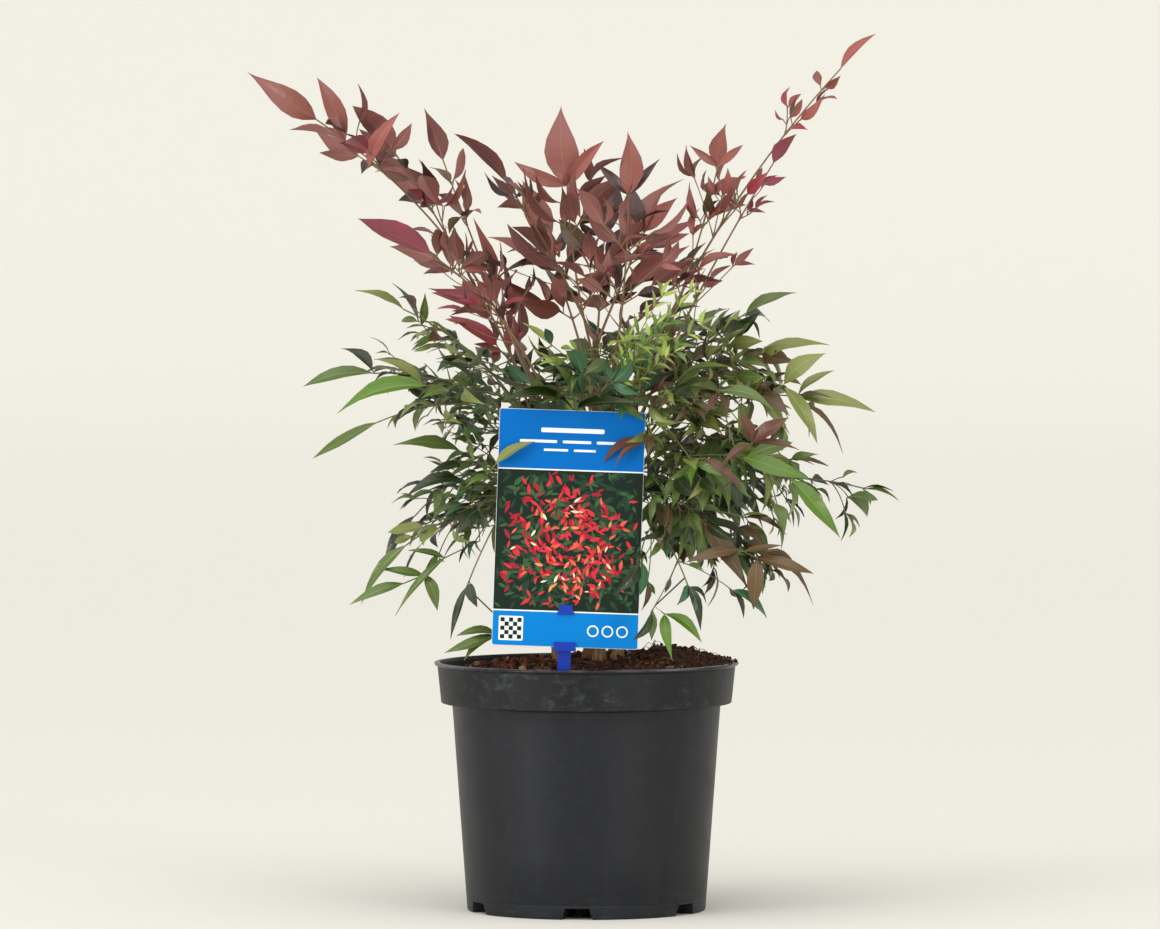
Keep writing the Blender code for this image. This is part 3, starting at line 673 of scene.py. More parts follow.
# Its roughness: from smooth to dull spots, and what the band and the dust with the painted lip
# highlight add and the lip takes off.
POT_ROUGHNESS = (0.42, 0.50)
BAND_ROUGHNESS = 0.03
DUST_ROUGHNESS = 0.5
LIP_SMOOTHNESS = 0.25


def pot_finish():
    """Moulded black plastic: faint mottling, dust on the band and foot, fine scuffs, a smoother lip.
    A painted highlight runs along the lip's top edge, and the band is painted darker as painted shade.
    """
    pot = Finish("black_plastic", "222428", 0.40, Specular_IOR_Level=0.27)
    height = pot.height()
    band = pot.fade(height, *BAND_FADE)
    low = pot.fade(height, *FOOT_FADE, 0.0, FOOT_DUST)
    specks = pot.spots(0.60, 0.72, 520, 6, 0.7)
    smudges = pot.spots(0.50, 0.74, 120, 6, 0.7, (1, 1, 1.5))
    streaks = pot.spots(0.52, 0.82, 60, 5, 0.6, (1, 1, 0.10))
    patches = pot.spots(0.40, 0.66, 24, 3, 0.6)
    place = pot.math("MULTIPLY", pot.math("MAXIMUM", band, low), patches)
    place = pot.math("ADD", place, WALL_DUST)
    marks = pot.math("ADD", specks, pot.math("MULTIPLY", smudges, SMUDGES))
    dust = pot.math("MULTIPLY", pot.math("MULTIPLY", marks, place), DUST)
    dust = pot.math("ADD", dust, pot.math("MULTIPLY", streaks, STREAKS))
    # Painted highlight: a pale grey line in patches along the lip's top edge, mixed into the colour
    # with the dust.
    edge = pot.fade(height, *LIP_HIGHLIGHT_FADE)
    painted_highlight = pot.math("MULTIPLY", edge, pot.spots(0.44, 0.58, 16, 2, 0.5))
    dust = pot.math("ADD", dust, pot.math("MULTIPLY", painted_highlight, PAINTED_LIP_HIGHLIGHT))
    # The band is painted darker than the wall below it: painted shade for the darker reflections along
    # the band.
    plain = pot.ramp(band, (0.0, "181a1f"), (1.0, "121418"))
    colour = pot.mix(dust, plain, (*rgb("8a909a"), 1))
    rough = pot.fade(pot.noise(45, 5), 0.3, 0.7, *POT_ROUGHNESS)
    rough = pot.math("ADD", rough, pot.math("MULTIPLY", band, BAND_ROUGHNESS))
    rough = pot.math("ADD", rough, pot.math("MULTIPLY", dust, DUST_ROUGHNESS))
    rough = pot.math("SUBTRACT", rough, pot.fade(height, *LIP_FADE, 0.0, LIP_SMOOTHNESS))
    scratches = pot.noise(240, 3, 0.5, (1, 1, 0.08))
    relief = pot.bump(scratches, 0.03 * MM, 0.5, pot.bump(pot.noise(700, 2), 0.02 * MM, 0.6))
    pot.set(pot.shader, {"Base Color": colour, "Roughness": rough, "Normal": relief})
    return pot.made


def build_pot():
    outside = turned(pot_outline())
    pot = mesh_piece("pot_body", outside.points, outside.faces, [pot_finish()])
    cavity_top = POT_HEIGHT + 1 * MM
    inside = turned([*cavity_outline(0, cavity_top), (0, cavity_top)])
    cavity = mesh_piece("cavity", inside.points, inside.faces, [])
    cut(cavity, channels(WALL))
    cut(pot, Shell([v.co.copy() for v in cavity.data.vertices],
                   [tuple(p.vertices) for p in cavity.data.polygons]), channels(0), drains())
    bpy.data.objects.remove(cavity, do_unlink=True)
    pot.data.shade_smooth()
    pot.data.set_sharp_from_angle(angle=math.radians(30))
    show(pot, "black_plastic", "pot")


# The soil's clods and broader lumps: how close they lie, as a share of a metre, and how high they are.
SOIL_RIPPLE = 1.1 * MM
CLODS = (130, 1.7 * MM)
BROAD_LUMPS = (45, 2.2 * MM)
CLOD_UNEVENNESS = 0.4


def soil_level(azimuth_deg, share):
    """Height of the soil: level under the canes, then down to the edge, with a heap at the right."""
    crown = SOIL_CROWN_RADIUS / BAND_FOOT_RADIUS
    fall = min(1.0, max(0.0, (share - crown) / (1 - crown)))
    toward = max(0.0, math.cos(math.radians(azimuth_deg - SOIL_HEAP_DEG)))
    ripple = SOIL_RIPPLE * math.sin(math.radians(5 * azimuth_deg)) * math.sin(math.pi * fall)
    heap = SOIL_HEAP * toward * math.sin(math.pi * min(1.0, fall) * 0.75)
    return SOIL_CROWN + (SOIL_EDGE - SOIL_CROWN) * fall + heap + ripple


def soil_top(azimuth_deg, share):
    """The soil's level with its clods."""
    level = soil_level(azimuth_deg, share)
    place = polar(azimuth_deg, share * BAND_FOOT_RADIUS)
    clods = noise.fractal(place * CLODS[0], 0.9, 2.1, 4) * CLODS[1]
    lumps = noise.noise(place * BROAD_LUMPS[0]) * BROAD_LUMPS[1]
    calm = min(1.0, (1.0 - share) * 14 + 0.25)
    away = (place - CLOD_PLACE).length / CLOD_RADIUS
    uneven = 1 + CLOD_UNEVENNESS * noise.noise(place * 90)
    heaped = CLOD_HEIGHT * math.exp(-away ** 3) * uneven
    return level + (clods + lumps) * calm + heaped


def on_soil(azimuth_deg, share, inward=1.0):
    """The point of the soil's top at a share of the way from the middle to the wall."""
    height = soil_top(azimuth_deg, share)
    return polar(azimuth_deg, (cavity_radius(height) - GAP) * share * inward, height)


def soil_finish(name, colour, dark, light):
    soil = Finish(name, colour, 0.93, Specular_IOR_Level=0.2)
    mottling = soil.ramp(soil.noise(520, 6, 0.7), (0.32, dark), (0.55, colour), (0.74, light))
    relief = soil.bump(soil.noise(1300, 4, 0.7), 0.5 * MM, 0.9)
    soil.set(soil.shader, {"Base Color": mottling, "Normal": relief})
    return soil.made


SOIL_RINGS = 46
SOIL_SEGMENTS = 150


def build_soil():
    """The bed of soil, from its foot inside the pot up to its rough top, and what lies on it."""
    finish = soil_finish("soil_bed", "463024", "281a13", "6a4e3a")
    low = cavity_outline(GAP, SOIL_EDGE - 3 * MM)[2:]
    azimuths = [360 * i / SOIL_SEGMENTS for i in range(SOIL_SEGMENTS)]
    points = [Vector((0, 0, SOIL_FOOT))]
    for radius, height in ((cavity_radius(SOIL_FOOT) - GAP, SOIL_FOOT), *low):
        points += [polar(azimuth, radius, height) for azimuth in azimuths]
    for k in range(SOIL_RINGS, 0, -1):
        points += [on_soil(azimuth, k / SOIL_RINGS) for azimuth in azimuths]
    points.append(Vector((0, 0, soil_top(0, 0))))
    faces = ring_faces(1 + len(low) + SOIL_RINGS, SOIL_SEGMENTS)
    bed = mesh_piece("soil_bed", points, faces, [finish], sharp_deg=180)
    show(bed, "potting_soil", "soil")
    build_crumbs()


def lump(draw, size, flat, long):
    """A crumb: an eight-cornered stone with uneven corners."""
    corners = []
    for x, y, z in itertools.product((-1, 1), repeat=3):
        shake = [draw.uniform(0.55, 1.0) for _ in range(3)]
        corner = Vector((x * shake[0] * long, y * shake[1], z * shake[2] * flat))
        corners.append(corner * size / 2)
    faces = [(0, 1, 3, 2), (4, 6, 7, 5), (0, 4, 5, 1), (2, 3, 7, 6), (0, 2, 6, 4), (1, 5, 7, 3)]
    return Shell(corners, faces)


def random_turn(draw):
    """A turn by any angle about each axis."""
    turn = Matrix.Identity(4)
    for axis in "XYZ":
        turn = Matrix.Rotation(math.radians(draw.uniform(0, 360)), 4, axis) @ turn
    return turn


# Colour codes of what lies on the soil: its usual, dark and light tint.
CRUMB_COLOURS = {
    "crumb_dark": ("3a271e", "221610", "543c2f"),
    "crumb_brown": ("583b2d", "362219", "785644"),
    "crumb_red": ("6e3a28", "48241c", "8e543c"),
    "crumb_tan": ("94744f", "664e36", "bc9c70"),
}
DARK, BROWN, RED, TAN = range(len(CRUMB_COLOURS))
CRUMB_COUNT = 2600
CRUMB_SIZES_MM = (1.2, 1.6, 2.2, 3.0, 4.2)
RIM_CRUMB_COUNT = 46
RIM_CRUMBS_DEG = (-26, 62)
CHIP_COUNT = 150
CHIP_SIZES_MM = (3, 4, 5, 6, 8.5)
CHIP_TILT = 0.35
# Large chips lie at the front left, and the last fibres stand higher at the right.
LARGE_CHIP_COUNT = 22
LARGE_CHIPS_DEG = (205, 262)
FIBRE_COUNT = 130
LOW_FIBRES = 91
HIGH_FIBRES_DEG = (-60, 20)
FIBRE_STEPS = 7
FIBRE_START = 86 * MM
FIBRE_REACH = 87 * MM
FIBRE_FIELD = 88 * MM
LOW_ARCH = 1.2
HIGH_ARCH = 2.8


def build_crumbs():
    """Crumbs of peat, chips of bark and fibres on the soil, and a few crumbs on the rim."""
    finishes = [soil_finish(name, *colours) for name, colours in CRUMB_COLOURS.items()]
    draw = random.Random("crumbs")
    crumbs, chips, fibres = Soup(), Soup(), Soup()
    strew_crumbs(draw, crumbs)
    rounded(crumbs.piece("soil_crumbs", finishes, 180), "potting_soil", "soil")
    strew_chips(draw, chips)
    rounded(chips.piece("soil_chips", finishes, 180), "potting_soil", "soil")
    strew_fibres(draw, fibres)
    show(fibres.piece("soil_fibres", finishes, 60), "potting_soil", "soil")


def strew_crumbs(draw, crumbs):
    """Crumbs all over the soil, and some on the pot's rim at the right."""
    kinds, shares = (DARK, BROWN, RED, TAN), (8, 7, 2.2, 0.8)
    for _ in range(CRUMB_COUNT):
        share = math.sqrt(draw.uniform(0.02, 0.985))
        azimuth = draw.uniform(0, 360)
        size = draw.choice(CRUMB_SIZES_MM) * draw.uniform(0.8, 1.2) * MM
        share = min(share, 1 - size * 0.6 / BAND_FOOT_RADIUS)
        solid = lump(draw, size, draw.uniform(0.6, 1), draw.uniform(0.9, 1.3))
        place = on_soil(azimuth, share) + UP * size * draw.uniform(-0.1, 0.3)
        solid = moved(solid, Matrix.Translation(place) @ random_turn(draw))
        crumbs.add(*solid, draw.choices(kinds, shares)[0])
    for _ in range(RIM_CRUMB_COUNT):
        azimuth = draw.uniform(*RIM_CRUMBS_DEG)
        size = draw.uniform(1.0, 3.2) * MM
        solid = lump(draw, size, 0.8, 1.1)
        place = polar(azimuth, LIP_RADIUS - draw.uniform(0.6, 2.6) * MM, POT_HEIGHT + size * 0.3)
        solid = moved(solid, Matrix.Translation(place) @ random_turn(draw))
        crumbs.add(*solid, draw.choice((DARK, BROWN, RED)))


def strew_chips(draw, chips):
    """Flat chips of bark all over the soil, and thick ones at the front left."""
    kinds = (BROWN, RED, TAN)
    for _ in range(CHIP_COUNT):
        azimuth, share = draw.uniform(0, 360), math.sqrt(draw.uniform(0.05, 0.93))
        size = draw.choice(CHIP_SIZES_MM) * draw.uniform(0.85, 1.15) * MM
        solid = lump(draw, size, draw.uniform(0.22, 0.42), draw.uniform(1.1, 2.0))
        tilt = Matrix.Rotation(draw.gauss(0, CHIP_TILT), 4, "Y")
        tilt = tilt @ Matrix.Rotation(draw.gauss(0, CHIP_TILT), 4, "X")
        turn = Matrix.Rotation(draw.uniform(0, 2 * math.pi), 4, "Z") @ tilt
        place = on_soil(azimuth, share, 0.95) + UP * 0.7 * MM
        chips.add(*moved(solid, Matrix.Translation(place) @ turn), draw.choices(kinds, (3, 4, 2))[0])
    for _ in range(LARGE_CHIP_COUNT):
        azimuth, share = draw.uniform(*LARGE_CHIPS_DEG), draw.uniform(0.50, 0.86)
        solid = lump(draw, draw.uniform(7, 11) * MM, draw.uniform(0.35, 0.6), draw.uniform(1.0, 1.6))
        height = soil_top(azimuth, share)
        place = polar(azimuth, cavity_radius(height) * share, height + 1.6 * MM)
        solid = moved(solid, Matrix.Translation(place) @ random_turn(draw))
        chips.add(*solid, draw.choices(kinds, (3, 6, 1))[0])


def strew_fibres(draw, fibres):
    """Fibres that wander over the soil, and turn back before the pot's wall."""
    for number in range(FIBRE_COUNT):
        high = number >= LOW_FIBRES
        azimuth, share = draw.uniform(0, 360), math.sqrt(draw.uniform(0.05, 0.9))
        if high:
            azimuth, share = draw.uniform(*HIGH_FIBRES_DEG), draw.uniform(0.45, 0.9)
        length = draw.uniform(7, 20) * MM
        spot = polar(azimuth, share * FIBRE_START)
        heading = draw.uniform(0, 2 * math.pi)
        arch = HIGH_ARCH if high else LOW_ARCH
        centres = []
        for step in range(FIBRE_STEPS):
            at = math.degrees(math.atan2(spot.y, spot.x))
            rise = (0.5 + arch * math.sin(math.pi * step / (FIBRE_STEPS - 1))) * MM
            level = soil_top(at, min(0.97, spot.length / FIBRE_FIELD))
            centres.append(spot + UP * (level + rise))
            way = Vector((math.cos(heading), math.sin(heading), 0))
            spot = spot + way * length / FIBRE_STEPS
            heading += draw.uniform(-0.5, 0.5)
            if spot.length > FIBRE_REACH:
                spot *= FIBRE_REACH / spot.length
        solid = tube(centres, [0.18 * MM] * (FIBRE_STEPS - 1) + [0.08 * MM], 5)
        fibres.add(*solid, draw.choice((DARK, BROWN, BROWN, TAN)))


def rounded(made, slot, *nodes):
    """Show the piece with its corners smoothed."""
    smooth = made.modifiers.new("Smooth", "SUBSURF")
    smooth.levels = smooth.render_levels = 1
    return show(made, slot, *nodes)


def card_matrix():
    """From the card's own axes (X to the right, Y back, Z up, from the middle of its lower edge)."""
    lean = Matrix.Rotation(math.radians(-CARD_LEAN_BACK_DEG), 4, "X")
    turn = Matrix.Rotation(math.radians(CARD_LEAN_RIGHT_DEG), 4, "Y")
    return Matrix.Translation(CARD_FOOT) @ turn @ lean


def card_outline(inset=0.0, high=CARD_HEIGHT):
    half = CARD_WIDTH / 2 - inset
    return bar(-half, inset, half, high - inset, CARD_CORNER, 6)


def bar(x0, z0, x1, z1, corner=0.0, steps=3):
    """A rectangle from its lower left to its upper right, with round corners where corner is given."""
    if not corner:
        return [(x0, z0), (x1, z0), (x1, z1), (x0, z1)]
    middles = (
        (x1 - corner, z0 + corner, 270),
        (x1 - corner, z1 - corner, 0),
        (x0 + corner, z1 - corner, 90),
        (x0 + corner, z0 + corner, 180),
    )
    outline = []
    for x, z, start in middles:
        outline += fillet(x, z, corner, start, start + 90, steps)
    return outline


def printed_finish(name, colour, roughness=0.34):
    """Glossy printed card, with the faint grain of its coating."""
    card = Finish(name, colour, roughness, Specular_IOR_Level=0.12)
    card.set(card.shader, {"Normal": card.bump(card.noise(260, 3), 0.03 * MM, 0.4)})
    return card.made


# The print on the card, in the card's own axes, with its levels one PRINT_DEPTH apart.
PRINT_DEPTH = 0.06 * MM
PRINT_MARGIN = 0.25 * MM
PICTURE_LOW = 22.2 * MM
PICTURE_HIGH = 108.6 * MM
PICTURE_WARMTH = 46 * MM
RULE = 0.8 * MM
# sky is the bottom band's blue, painted lighter as painted light.
PRINT_COLOURS = {
    "blue": "0068ba", "sky": "027bca", "white": "eef2f4", "ground": "1b2a22", "pine": "27402e",
    "moss": "3d5c3c", "crimson": "a82436", "red": "cf3440", "coral": "e0604e", "orange": "e8925e",
    "cream": "ecdcb8",
}
PRINT_ORDER = list(PRINT_COLOURS)
# Layers of leaves in the printed pattern: how many, their length in mm, spread and colours.
PRINT_LAYERS = (
    (520, (5, 9), 3.0, ("pine", "pine", "moss")),
    (330, (4, 8), 1.05, ("crimson", "red", "crimson")),
    (300, (4, 7), 0.92, ("red", "coral", "red", "moss")),
    (190, (3, 6), 0.80, ("coral", "orange", "cream")),
)
# Plain rules in the top band, in mm: their middle height, thickness, and where each piece runs.
PRINT_RULES = (
    (133.4, 2.8, (-19, 20)),
    (126.4, 1.7, (-32, -9), (-5.5, 12), (15.5, 35)),
    (121.2, 1.4, (-17, -2), (1.5, 15)),
)
# The checked patch and the rings in the bottom band.
PATCH = 15 * MM
PATCH_LEFT = 4 * MM
PATCH_LOW = 3.2 * MM
PATCH_MARGIN = 1 * MM
PATCH_CELLS = 5
RING_PLACES_MM = (17, 26, 35)
RING_HEIGHT = 10.5 * MM
RING_RADIUS = 3.6 * MM
RING_HOLE = 2.7 * MM


def flat_print(soup, outline, level, colour):
    """An outline in the card's plane, made a thin plate that stands on its front."""
    solid = moved(prism(outline, -0.2 * MM, PRINT_DEPTH * level), STAND_UP)
    soup.add(*moved(solid, card_matrix()), PRINT_ORDER.index(colour))


def lozenge(x, z, length, width, turn_deg):
    """A simple pointed leaf, as six points round its middle line."""
    turn = math.radians(turn_deg)
    cos, sin = math.cos(turn), math.sin(turn)
    shape = [(0, 0), (0.3, -0.42), (0.6, -0.4), (1, 0), (0.6, 0.4), (0.3, 0.42)]
    return [
        (x + cos * s * length - sin * w * width, z + sin * s * length + cos * w * width)
        for s, w in shape
    ]


def build_label():
    """The card, its coloured bands and generic print, and the stake with its clip."""
    card = moved(moved(prism(card_outline(), -CARD_THICKNESS, 0), STAND_UP), card_matrix())
    core = mesh_piece("label_card_core", *card, [printed_finish("card_white", "e9ebee", 0.4)])
    add_bevel(core, 0.15 * MM)
    show(core, "label_card", "label_card")

    soup = Soup()
    half = CARD_WIDTH / 2 - PRINT_MARGIN
    flat_print(soup, card_outline(PRINT_MARGIN), 1, "blue")
    # The bottom band is a lighter blue than the rest of the card: painted light, as if it caught more
    # of the light.
    flat_print(soup, card_outline(PRINT_MARGIN, PICTURE_LOW + RULE), 1.3, "sky")
    flat_print(soup, bar(-half, PICTURE_LOW - RULE, half, PICTURE_HIGH + RULE), 2, "white")
    flat_print(soup, bar(-half, PICTURE_LOW, half, PICTURE_HIGH), 3, "ground")
    print_picture(soup, half)
    print_bands(soup)
    finishes = [printed_finish("print_" + name, code) for name, code in PRINT_COLOURS.items()]
    show(soup.piece("label_print", finishes, 30), "label_card", "label_card")
    build_stake()


def add_bevel(made, width):
    bevel = made.modifiers.new("Bevel", "BEVEL")
    bevel.width = width
    bevel.segments = 2
    return bevel


def print_picture(soup, half):
    """A generic print: leaves strewn in every direction, warm at the middle and dark at the edges."""
    draw = random.Random("picture")
    middle = (PICTURE_LOW + PICTURE_HIGH) / 2 - 3 * MM
    for level, (count, sizes, spread, colours) in enumerate(PRINT_LAYERS):
        for _ in range(count):
            x, z = draw.uniform(-half, half), draw.uniform(PICTURE_LOW, PICTURE_HIGH)
            away = math.hypot(x / half, (z - middle) / PICTURE_WARMTH)
            if draw.random() < (away / spread) ** 3:
                continue
            length = draw.uniform(*sizes) * MM
            shape = lozenge(x, z, length, length * draw.uniform(0.28, 0.42), draw.uniform(0, 360))
            if all(abs(px) < half and PICTURE_LOW < pz < PICTURE_HIGH for px, pz in shape):
                depth = 3.2 + 0.8 * level + 0.7 * draw.random()
                flat_print(soup, shape, depth, draw.choice(colours))


def print_bands(soup):
    """Plain rules in the top band, and a checked patch and three rings in the bottom band."""
    for z, height, *words in PRINT_RULES:
        for x0, x1 in words:
            corner = height * 0.3 * MM
            outline = bar(x0 * MM, (z - height / 2) * MM, x1 * MM, (z + height / 2) * MM, corner)
            flat_print(soup, outline, 2, "white")
    left = -CARD_WIDTH / 2 + PATCH_LEFT
    outline = bar(left, PATCH_LOW, left + PATCH, PATCH_LOW + PATCH, 0.8 * MM)
    flat_print(soup, outline, 2, "white")
    cell = (PATCH - 2 * PATCH_MARGIN) / PATCH_CELLS
    for i, j in itertools.product(range(PATCH_CELLS), repeat=2):
        if (i + j) % 2 == 0:
            x, z = left + PATCH_MARGIN + i * cell, PATCH_LOW + PATCH_MARGIN + j * cell
            flat_print(soup, bar(x, z, x + cell, z + cell), 3, "ground")
    for place in RING_PLACES_MM:
        for radius, level, colour in ((RING_RADIUS, 2, "white"), (RING_HOLE, 3, "sky")):
            outline = fillet(place * MM, RING_HEIGHT, radius, 0, 360, 28)[:-1]
            flat_print(soup, outline, level, colour)


def build_stake():
    """The stake keeps its solid and gets rounded edges and a moulded finish."""
    stake = Finish("blue_plastic", "0c36a6", 0.34, Specular_IOR_Level=0.3)
    stake.set(stake.shader, {"Normal": stake.bump(stake.noise(330, 3), 0.04 * MM, 0.4)})
    node = frame["nodes"]["label_stake"]
    node.data.materials.clear()
    node.data.materials.append(stake.made)
    add_bevel(node, 0.25 * MM).limit_method = "ANGLE"


def cane_foot_and_top(cane):
    """Cane 0 stands in the middle. The others stand in a ring and lean out by a seeded amount."""
    draw = random.Random(f"cane {cane}")
    if cane == 0:
        return Vector((1 * MM, 3 * MM, SOIL_CROWN + GAP)), Vector((6 * MM, -2 * MM, CANE_TOP + 14 * MM))
    azimuth = 360 * (cane - 1) / RING_CANES + draw.uniform(-9, 9)
    foot = polar(azimuth, CANE_RING_RADIUS + draw.uniform(-3, 3) * MM, SOIL_CROWN + GAP)
    lean = CANE_LEAN + draw.uniform(-4, 4) * MM
    top = foot + polar(azimuth + draw.uniform(-14, 14), lean)
    top.z = CANE_TOP + draw.uniform(-22, 10) * MM
    return foot, top


def cane_point(cane, share):
    foot, top = cane_foot_and_top(cane)
    outward = Vector((top.x - foot.x, top.y - foot.y, 0)).normalized()
    return foot.lerp(top, share) + outward * CANE_BOW * math.sin(math.pi * share)


def cane_radius(share, length):
    flare = max(0.0, 1 - share * length / CANE_FLARE_HEIGHT)
    slim = CANE_FOOT_RADIUS + (CANE_TIP_RADIUS - CANE_FOOT_RADIUS) * share
    return slim * (1 + (CANE_FLARE - 1) * flare * flare)


def cane_length(cane):
    foot, top = cane_foot_and_top(cane)
    return (top - foot).length


def cane_shell(cane):
    """A tapering round stem with a flat, level cut at the foot."""
    length = cane_length(cane)
    shares = (0, 0.02, 0.04, 0.35, 0.7, 1.0)
    points = [cane_point(cane, 0)]
    for share in shares:
        centre, radius = cane_point(cane, share), cane_radius(share, length)
        points += [centre + polar(360 * i / CANE_SIDES, radius) for i in range(CANE_SIDES)]
    points.append(cane_point(cane, 1.0) + UP * 0.5 * MM)
    return Shell(points, ring_faces(len(shares), CANE_SIDES))


# The height, in metres, where the old bark goes over into the young one.
YOUNG_BARK_FADE = (0.20, 0.30)


def bark_finish():
    bark = Finish("cane_bark", "7c5c3c", 0.8)
    long = (1, 1, 0.13)
    old_grain, young_grain = bark.noise(420, 5, 0.65, long), bark.noise(300, 4, 0.6, long)
    old = bark.ramp(old_grain, (0.3, "4c3524"), (0.5, "80603e"), (0.72, "a8875a"))
    young = bark.ramp(young_grain, (0.35, "4a3428"), (0.6, "6a4c38"), (0.75, "7c6a44"))
    colour = bark.mix(bark.fade(bark.height(), *YOUNG_BARK_FADE), old, young)
    relief = bark.bump(bark.noise(800, 4, 0.6, long), 0.35 * MM, 0.8)
    bark.set(bark.shader, {"Base Color": colour, "Normal": relief})
    return bark.made


BARK_SIDES = 16
BARK_RINGS = 110
BARK_TAPER = 0.3
RIDGE = 0.13
JOINT_SWELL = 0.28
JOINT_HEIGHT = 1.1 * MM
SHEATH_SWELL = 0.16
SHEATH_HEIGHT = 9 * MM


def build_canes():
    """Each cane has ridged bark, rings at its joints, and the torn sheaths of old leaves above them."""
    bark = bark_finish()
    for cane in range(RING_CANES + 1):
        draw = random.Random(f"bark {cane}")
        length = cane_length(cane)
        joints, at = [], draw.uniform(14, 22) * MM
        while at < length - 6 * MM:
            joints.append(at)
            at += draw.uniform(15, 24) * MM
        points = [cane_point(cane, 0)]
        for k in range(BARK_RINGS):
            share = k / (BARK_RINGS - 1)
            centre = cane_point(cane, share)
            radius = cane_radius(share, length) * (1 - BARK_TAPER * share)
            for joint in joints:
                above = share * length - joint
                radius *= 1 + JOINT_SWELL * math.exp(-(above / JOINT_HEIGHT) ** 2)
                if 0 < above < SHEATH_HEIGHT:
                    radius *= 1 + SHEATH_SWELL * (1 - above / SHEATH_HEIGHT)
            for i in range(BARK_SIDES):
                azimuth = 360 * i / BARK_SIDES
                spot = polar(azimuth, 1.0, share * length / MM * 0.05 + cane * 7)
                ridge = noise.noise(Vector((spot.x * 2.6, spot.y * 2.6, spot.z)))
                points.append(centre + polar(azimuth, radius * (1 + RIDGE * ridge)))
        points.append(cane_point(cane, 1.0) + UP * 1.2 * MM)
        faces = ring_faces(BARK_RINGS, BARK_SIDES)
        made = mesh_piece(f"bark_cane_{cane + 1}", points, faces, [bark], sharp_deg=180)
        show(made, "cane_bark", f"cane_{cane + 1}")


def spray_list():
    """Every spray with its tip, and the cane and height where it grows."""
    tips = []
    for tier, rows in ((PLUME, PLUME_TIPS), (SHOULDER, SHOULDER_TIPS), (SKIRT, SKIRT_TIPS)):
        for azimuth, reach, height, roll, size in rows:
            tips.append((tier, polar(azimuth, reach * MM, height * MM), roll, size))
    for fill in BACK:
        draw = random.Random(f"back {fill.tier.name}")
        for i in range(fill.count):
            azimuth = fill.start_deg + (fill.end_deg - fill.start_deg) * i / (fill.count - 1)
            reach = fill.reach + draw.uniform(-1, 1) * fill.spread
            height = fill.height + draw.uniform(-1, 1) * fill.spread
            tips.append((fill.tier, polar(azimuth, reach, height), draw.uniform(-40, 40), 0.95))
    sprays, taken, numbers = [], {}, {}
    for tier, tip, roll, size in tips:
        cane = nearest_cane(tip, tier, taken)
        used = taken.get((cane, tier), 0)
        taken[(cane, tier)] = used + 1
        numbers[tier] = numbers.get(tier, 0) + 1
        name = f"{tier.name}_{numbers[tier]:02d}"
        share = tier.first - CANE_STEP * used
        sprays.append(Spray(name, tier, tip.freeze(), roll, tier.leaf * size, cane, share))
    return sprays


def nearest_cane(tip, tier, taken):
    """The cane that leans most towards the tip, unless it already carries its share of this tier."""
    def cost(cane):
        side = cane_point(cane, 1.0)
        side.z = 0
        reach = Vector((tip.x, tip.y, 0))
        crowding = 9 * MM * taken.get((cane, tier), 0)
        return (reach * 0.22 - side).length + crowding
    return min(range(RING_CANES + 1), key=cost)


def stalk_bend(spray, sway, lift):
    """The three control points of a stalk: it leaves at the tier's rise and bends over."""
    at_cane = cane_point(spray.cane, spray.share)
    outward = Vector((spray.tip.x - at_cane.x, spray.tip.y - at_cane.y, 0)).normalized()
    rise = math.radians(spray.tier.rise)
    heading = outward * math.cos(rise) + UP * math.sin(rise)
    start = seat_on_cane(spray, at_cane, outward, heading)
    span = (spray.tip - start).length
    middle = start + heading * span * 0.52 + outward.cross(UP) * sway + UP * lift
    return start, middle, spray.tip


def bend_point(bend, t):
    start, middle, tip = bend
    return start * (1 - t) ** 2 + middle * 2 * t * (1 - t) + tip * t * t


def bend_end(spray, bend):
    return 1 - (spray.leaf - LEAF_ROOT) / (spray.tip - bend[0]).length


def seat_on_cane(spray, at_cane, outward, heading):
    """The stalk's first centre, from which its nearest corner lies one gap clear of the cane."""
    bark = tree_of(cane_shell(spray.cane))
    across, over = frame_of(heading, leaf_normal(spray, heading))
    start = at_cane + outward * (CANE_FOOT_RADIUS + STALK_RADIUS * 2)
    for _ in range(3):
        corners = ring(start, across, over, STALK_RADIUS)
        nearest = min(bark.find_nearest(corner)[3] for corner in corners)
        start = start + outward * (GAP - nearest)
    return start


def frame_of(direction, normal):
    across = direction.cross(normal).normalized()
    return across, across.cross(direction).normalized()


def ring(centre, across, over, radius):
    """The three corners of a stalk: left, bottom and right, seen from its foot."""
    turns = [math.radians(a) for a in (150, 270, 30)]
    return [centre + (across * math.cos(a) + over * math.sin(a)) * radius for a in turns]


def spindle(rings, tip):
    """A closed three-sided shell: a flat foot, rings of three corners and a pointed tip."""
    points = [p for corners in rings for p in corners] + [tip]
    faces = [(0, 1, 2)]
    for low in range(0, 3 * len(rings) - 3, 3):
        for k in range(3):
            n = (k + 1) % 3
            faces.append((low + n, low + k, low + 3 + k, low + 3 + n))
    last = 3 * len(rings) - 3
    faces += [(last + (k + 1) % 3, last + k, last + 3) for k in range(3)]
    return Shell(points, faces)


def leaflet(root, direction, normal, length, width, grown):
    """The widest ring of a leaflet (left edge, keel, right edge) and its drooping tip."""
    across, over = frame_of(direction, normal)
    wide = root + direction * length * LEAF_WIDEST
    half = across * (width / 2 + grown)
    keel = over * (LEAF_THICKNESS * length + grown)
    edge = over * grown
    tip = root + direction * (length + 2 * grown) - over * length * LEAF_DROOP
    return [wide - half + edge, wide - keel, wide + half + edge], tip


def end_leaf(spray, last_centre):
    """Direction, normal and length of the leaflet at the stalk's end."""
    to_tip = spray.tip + UP * LEAF_DROOP * spray.leaf - last_centre
    direction = to_tip.normalized()
    return direction, leaf_normal(spray, direction), to_tip.length


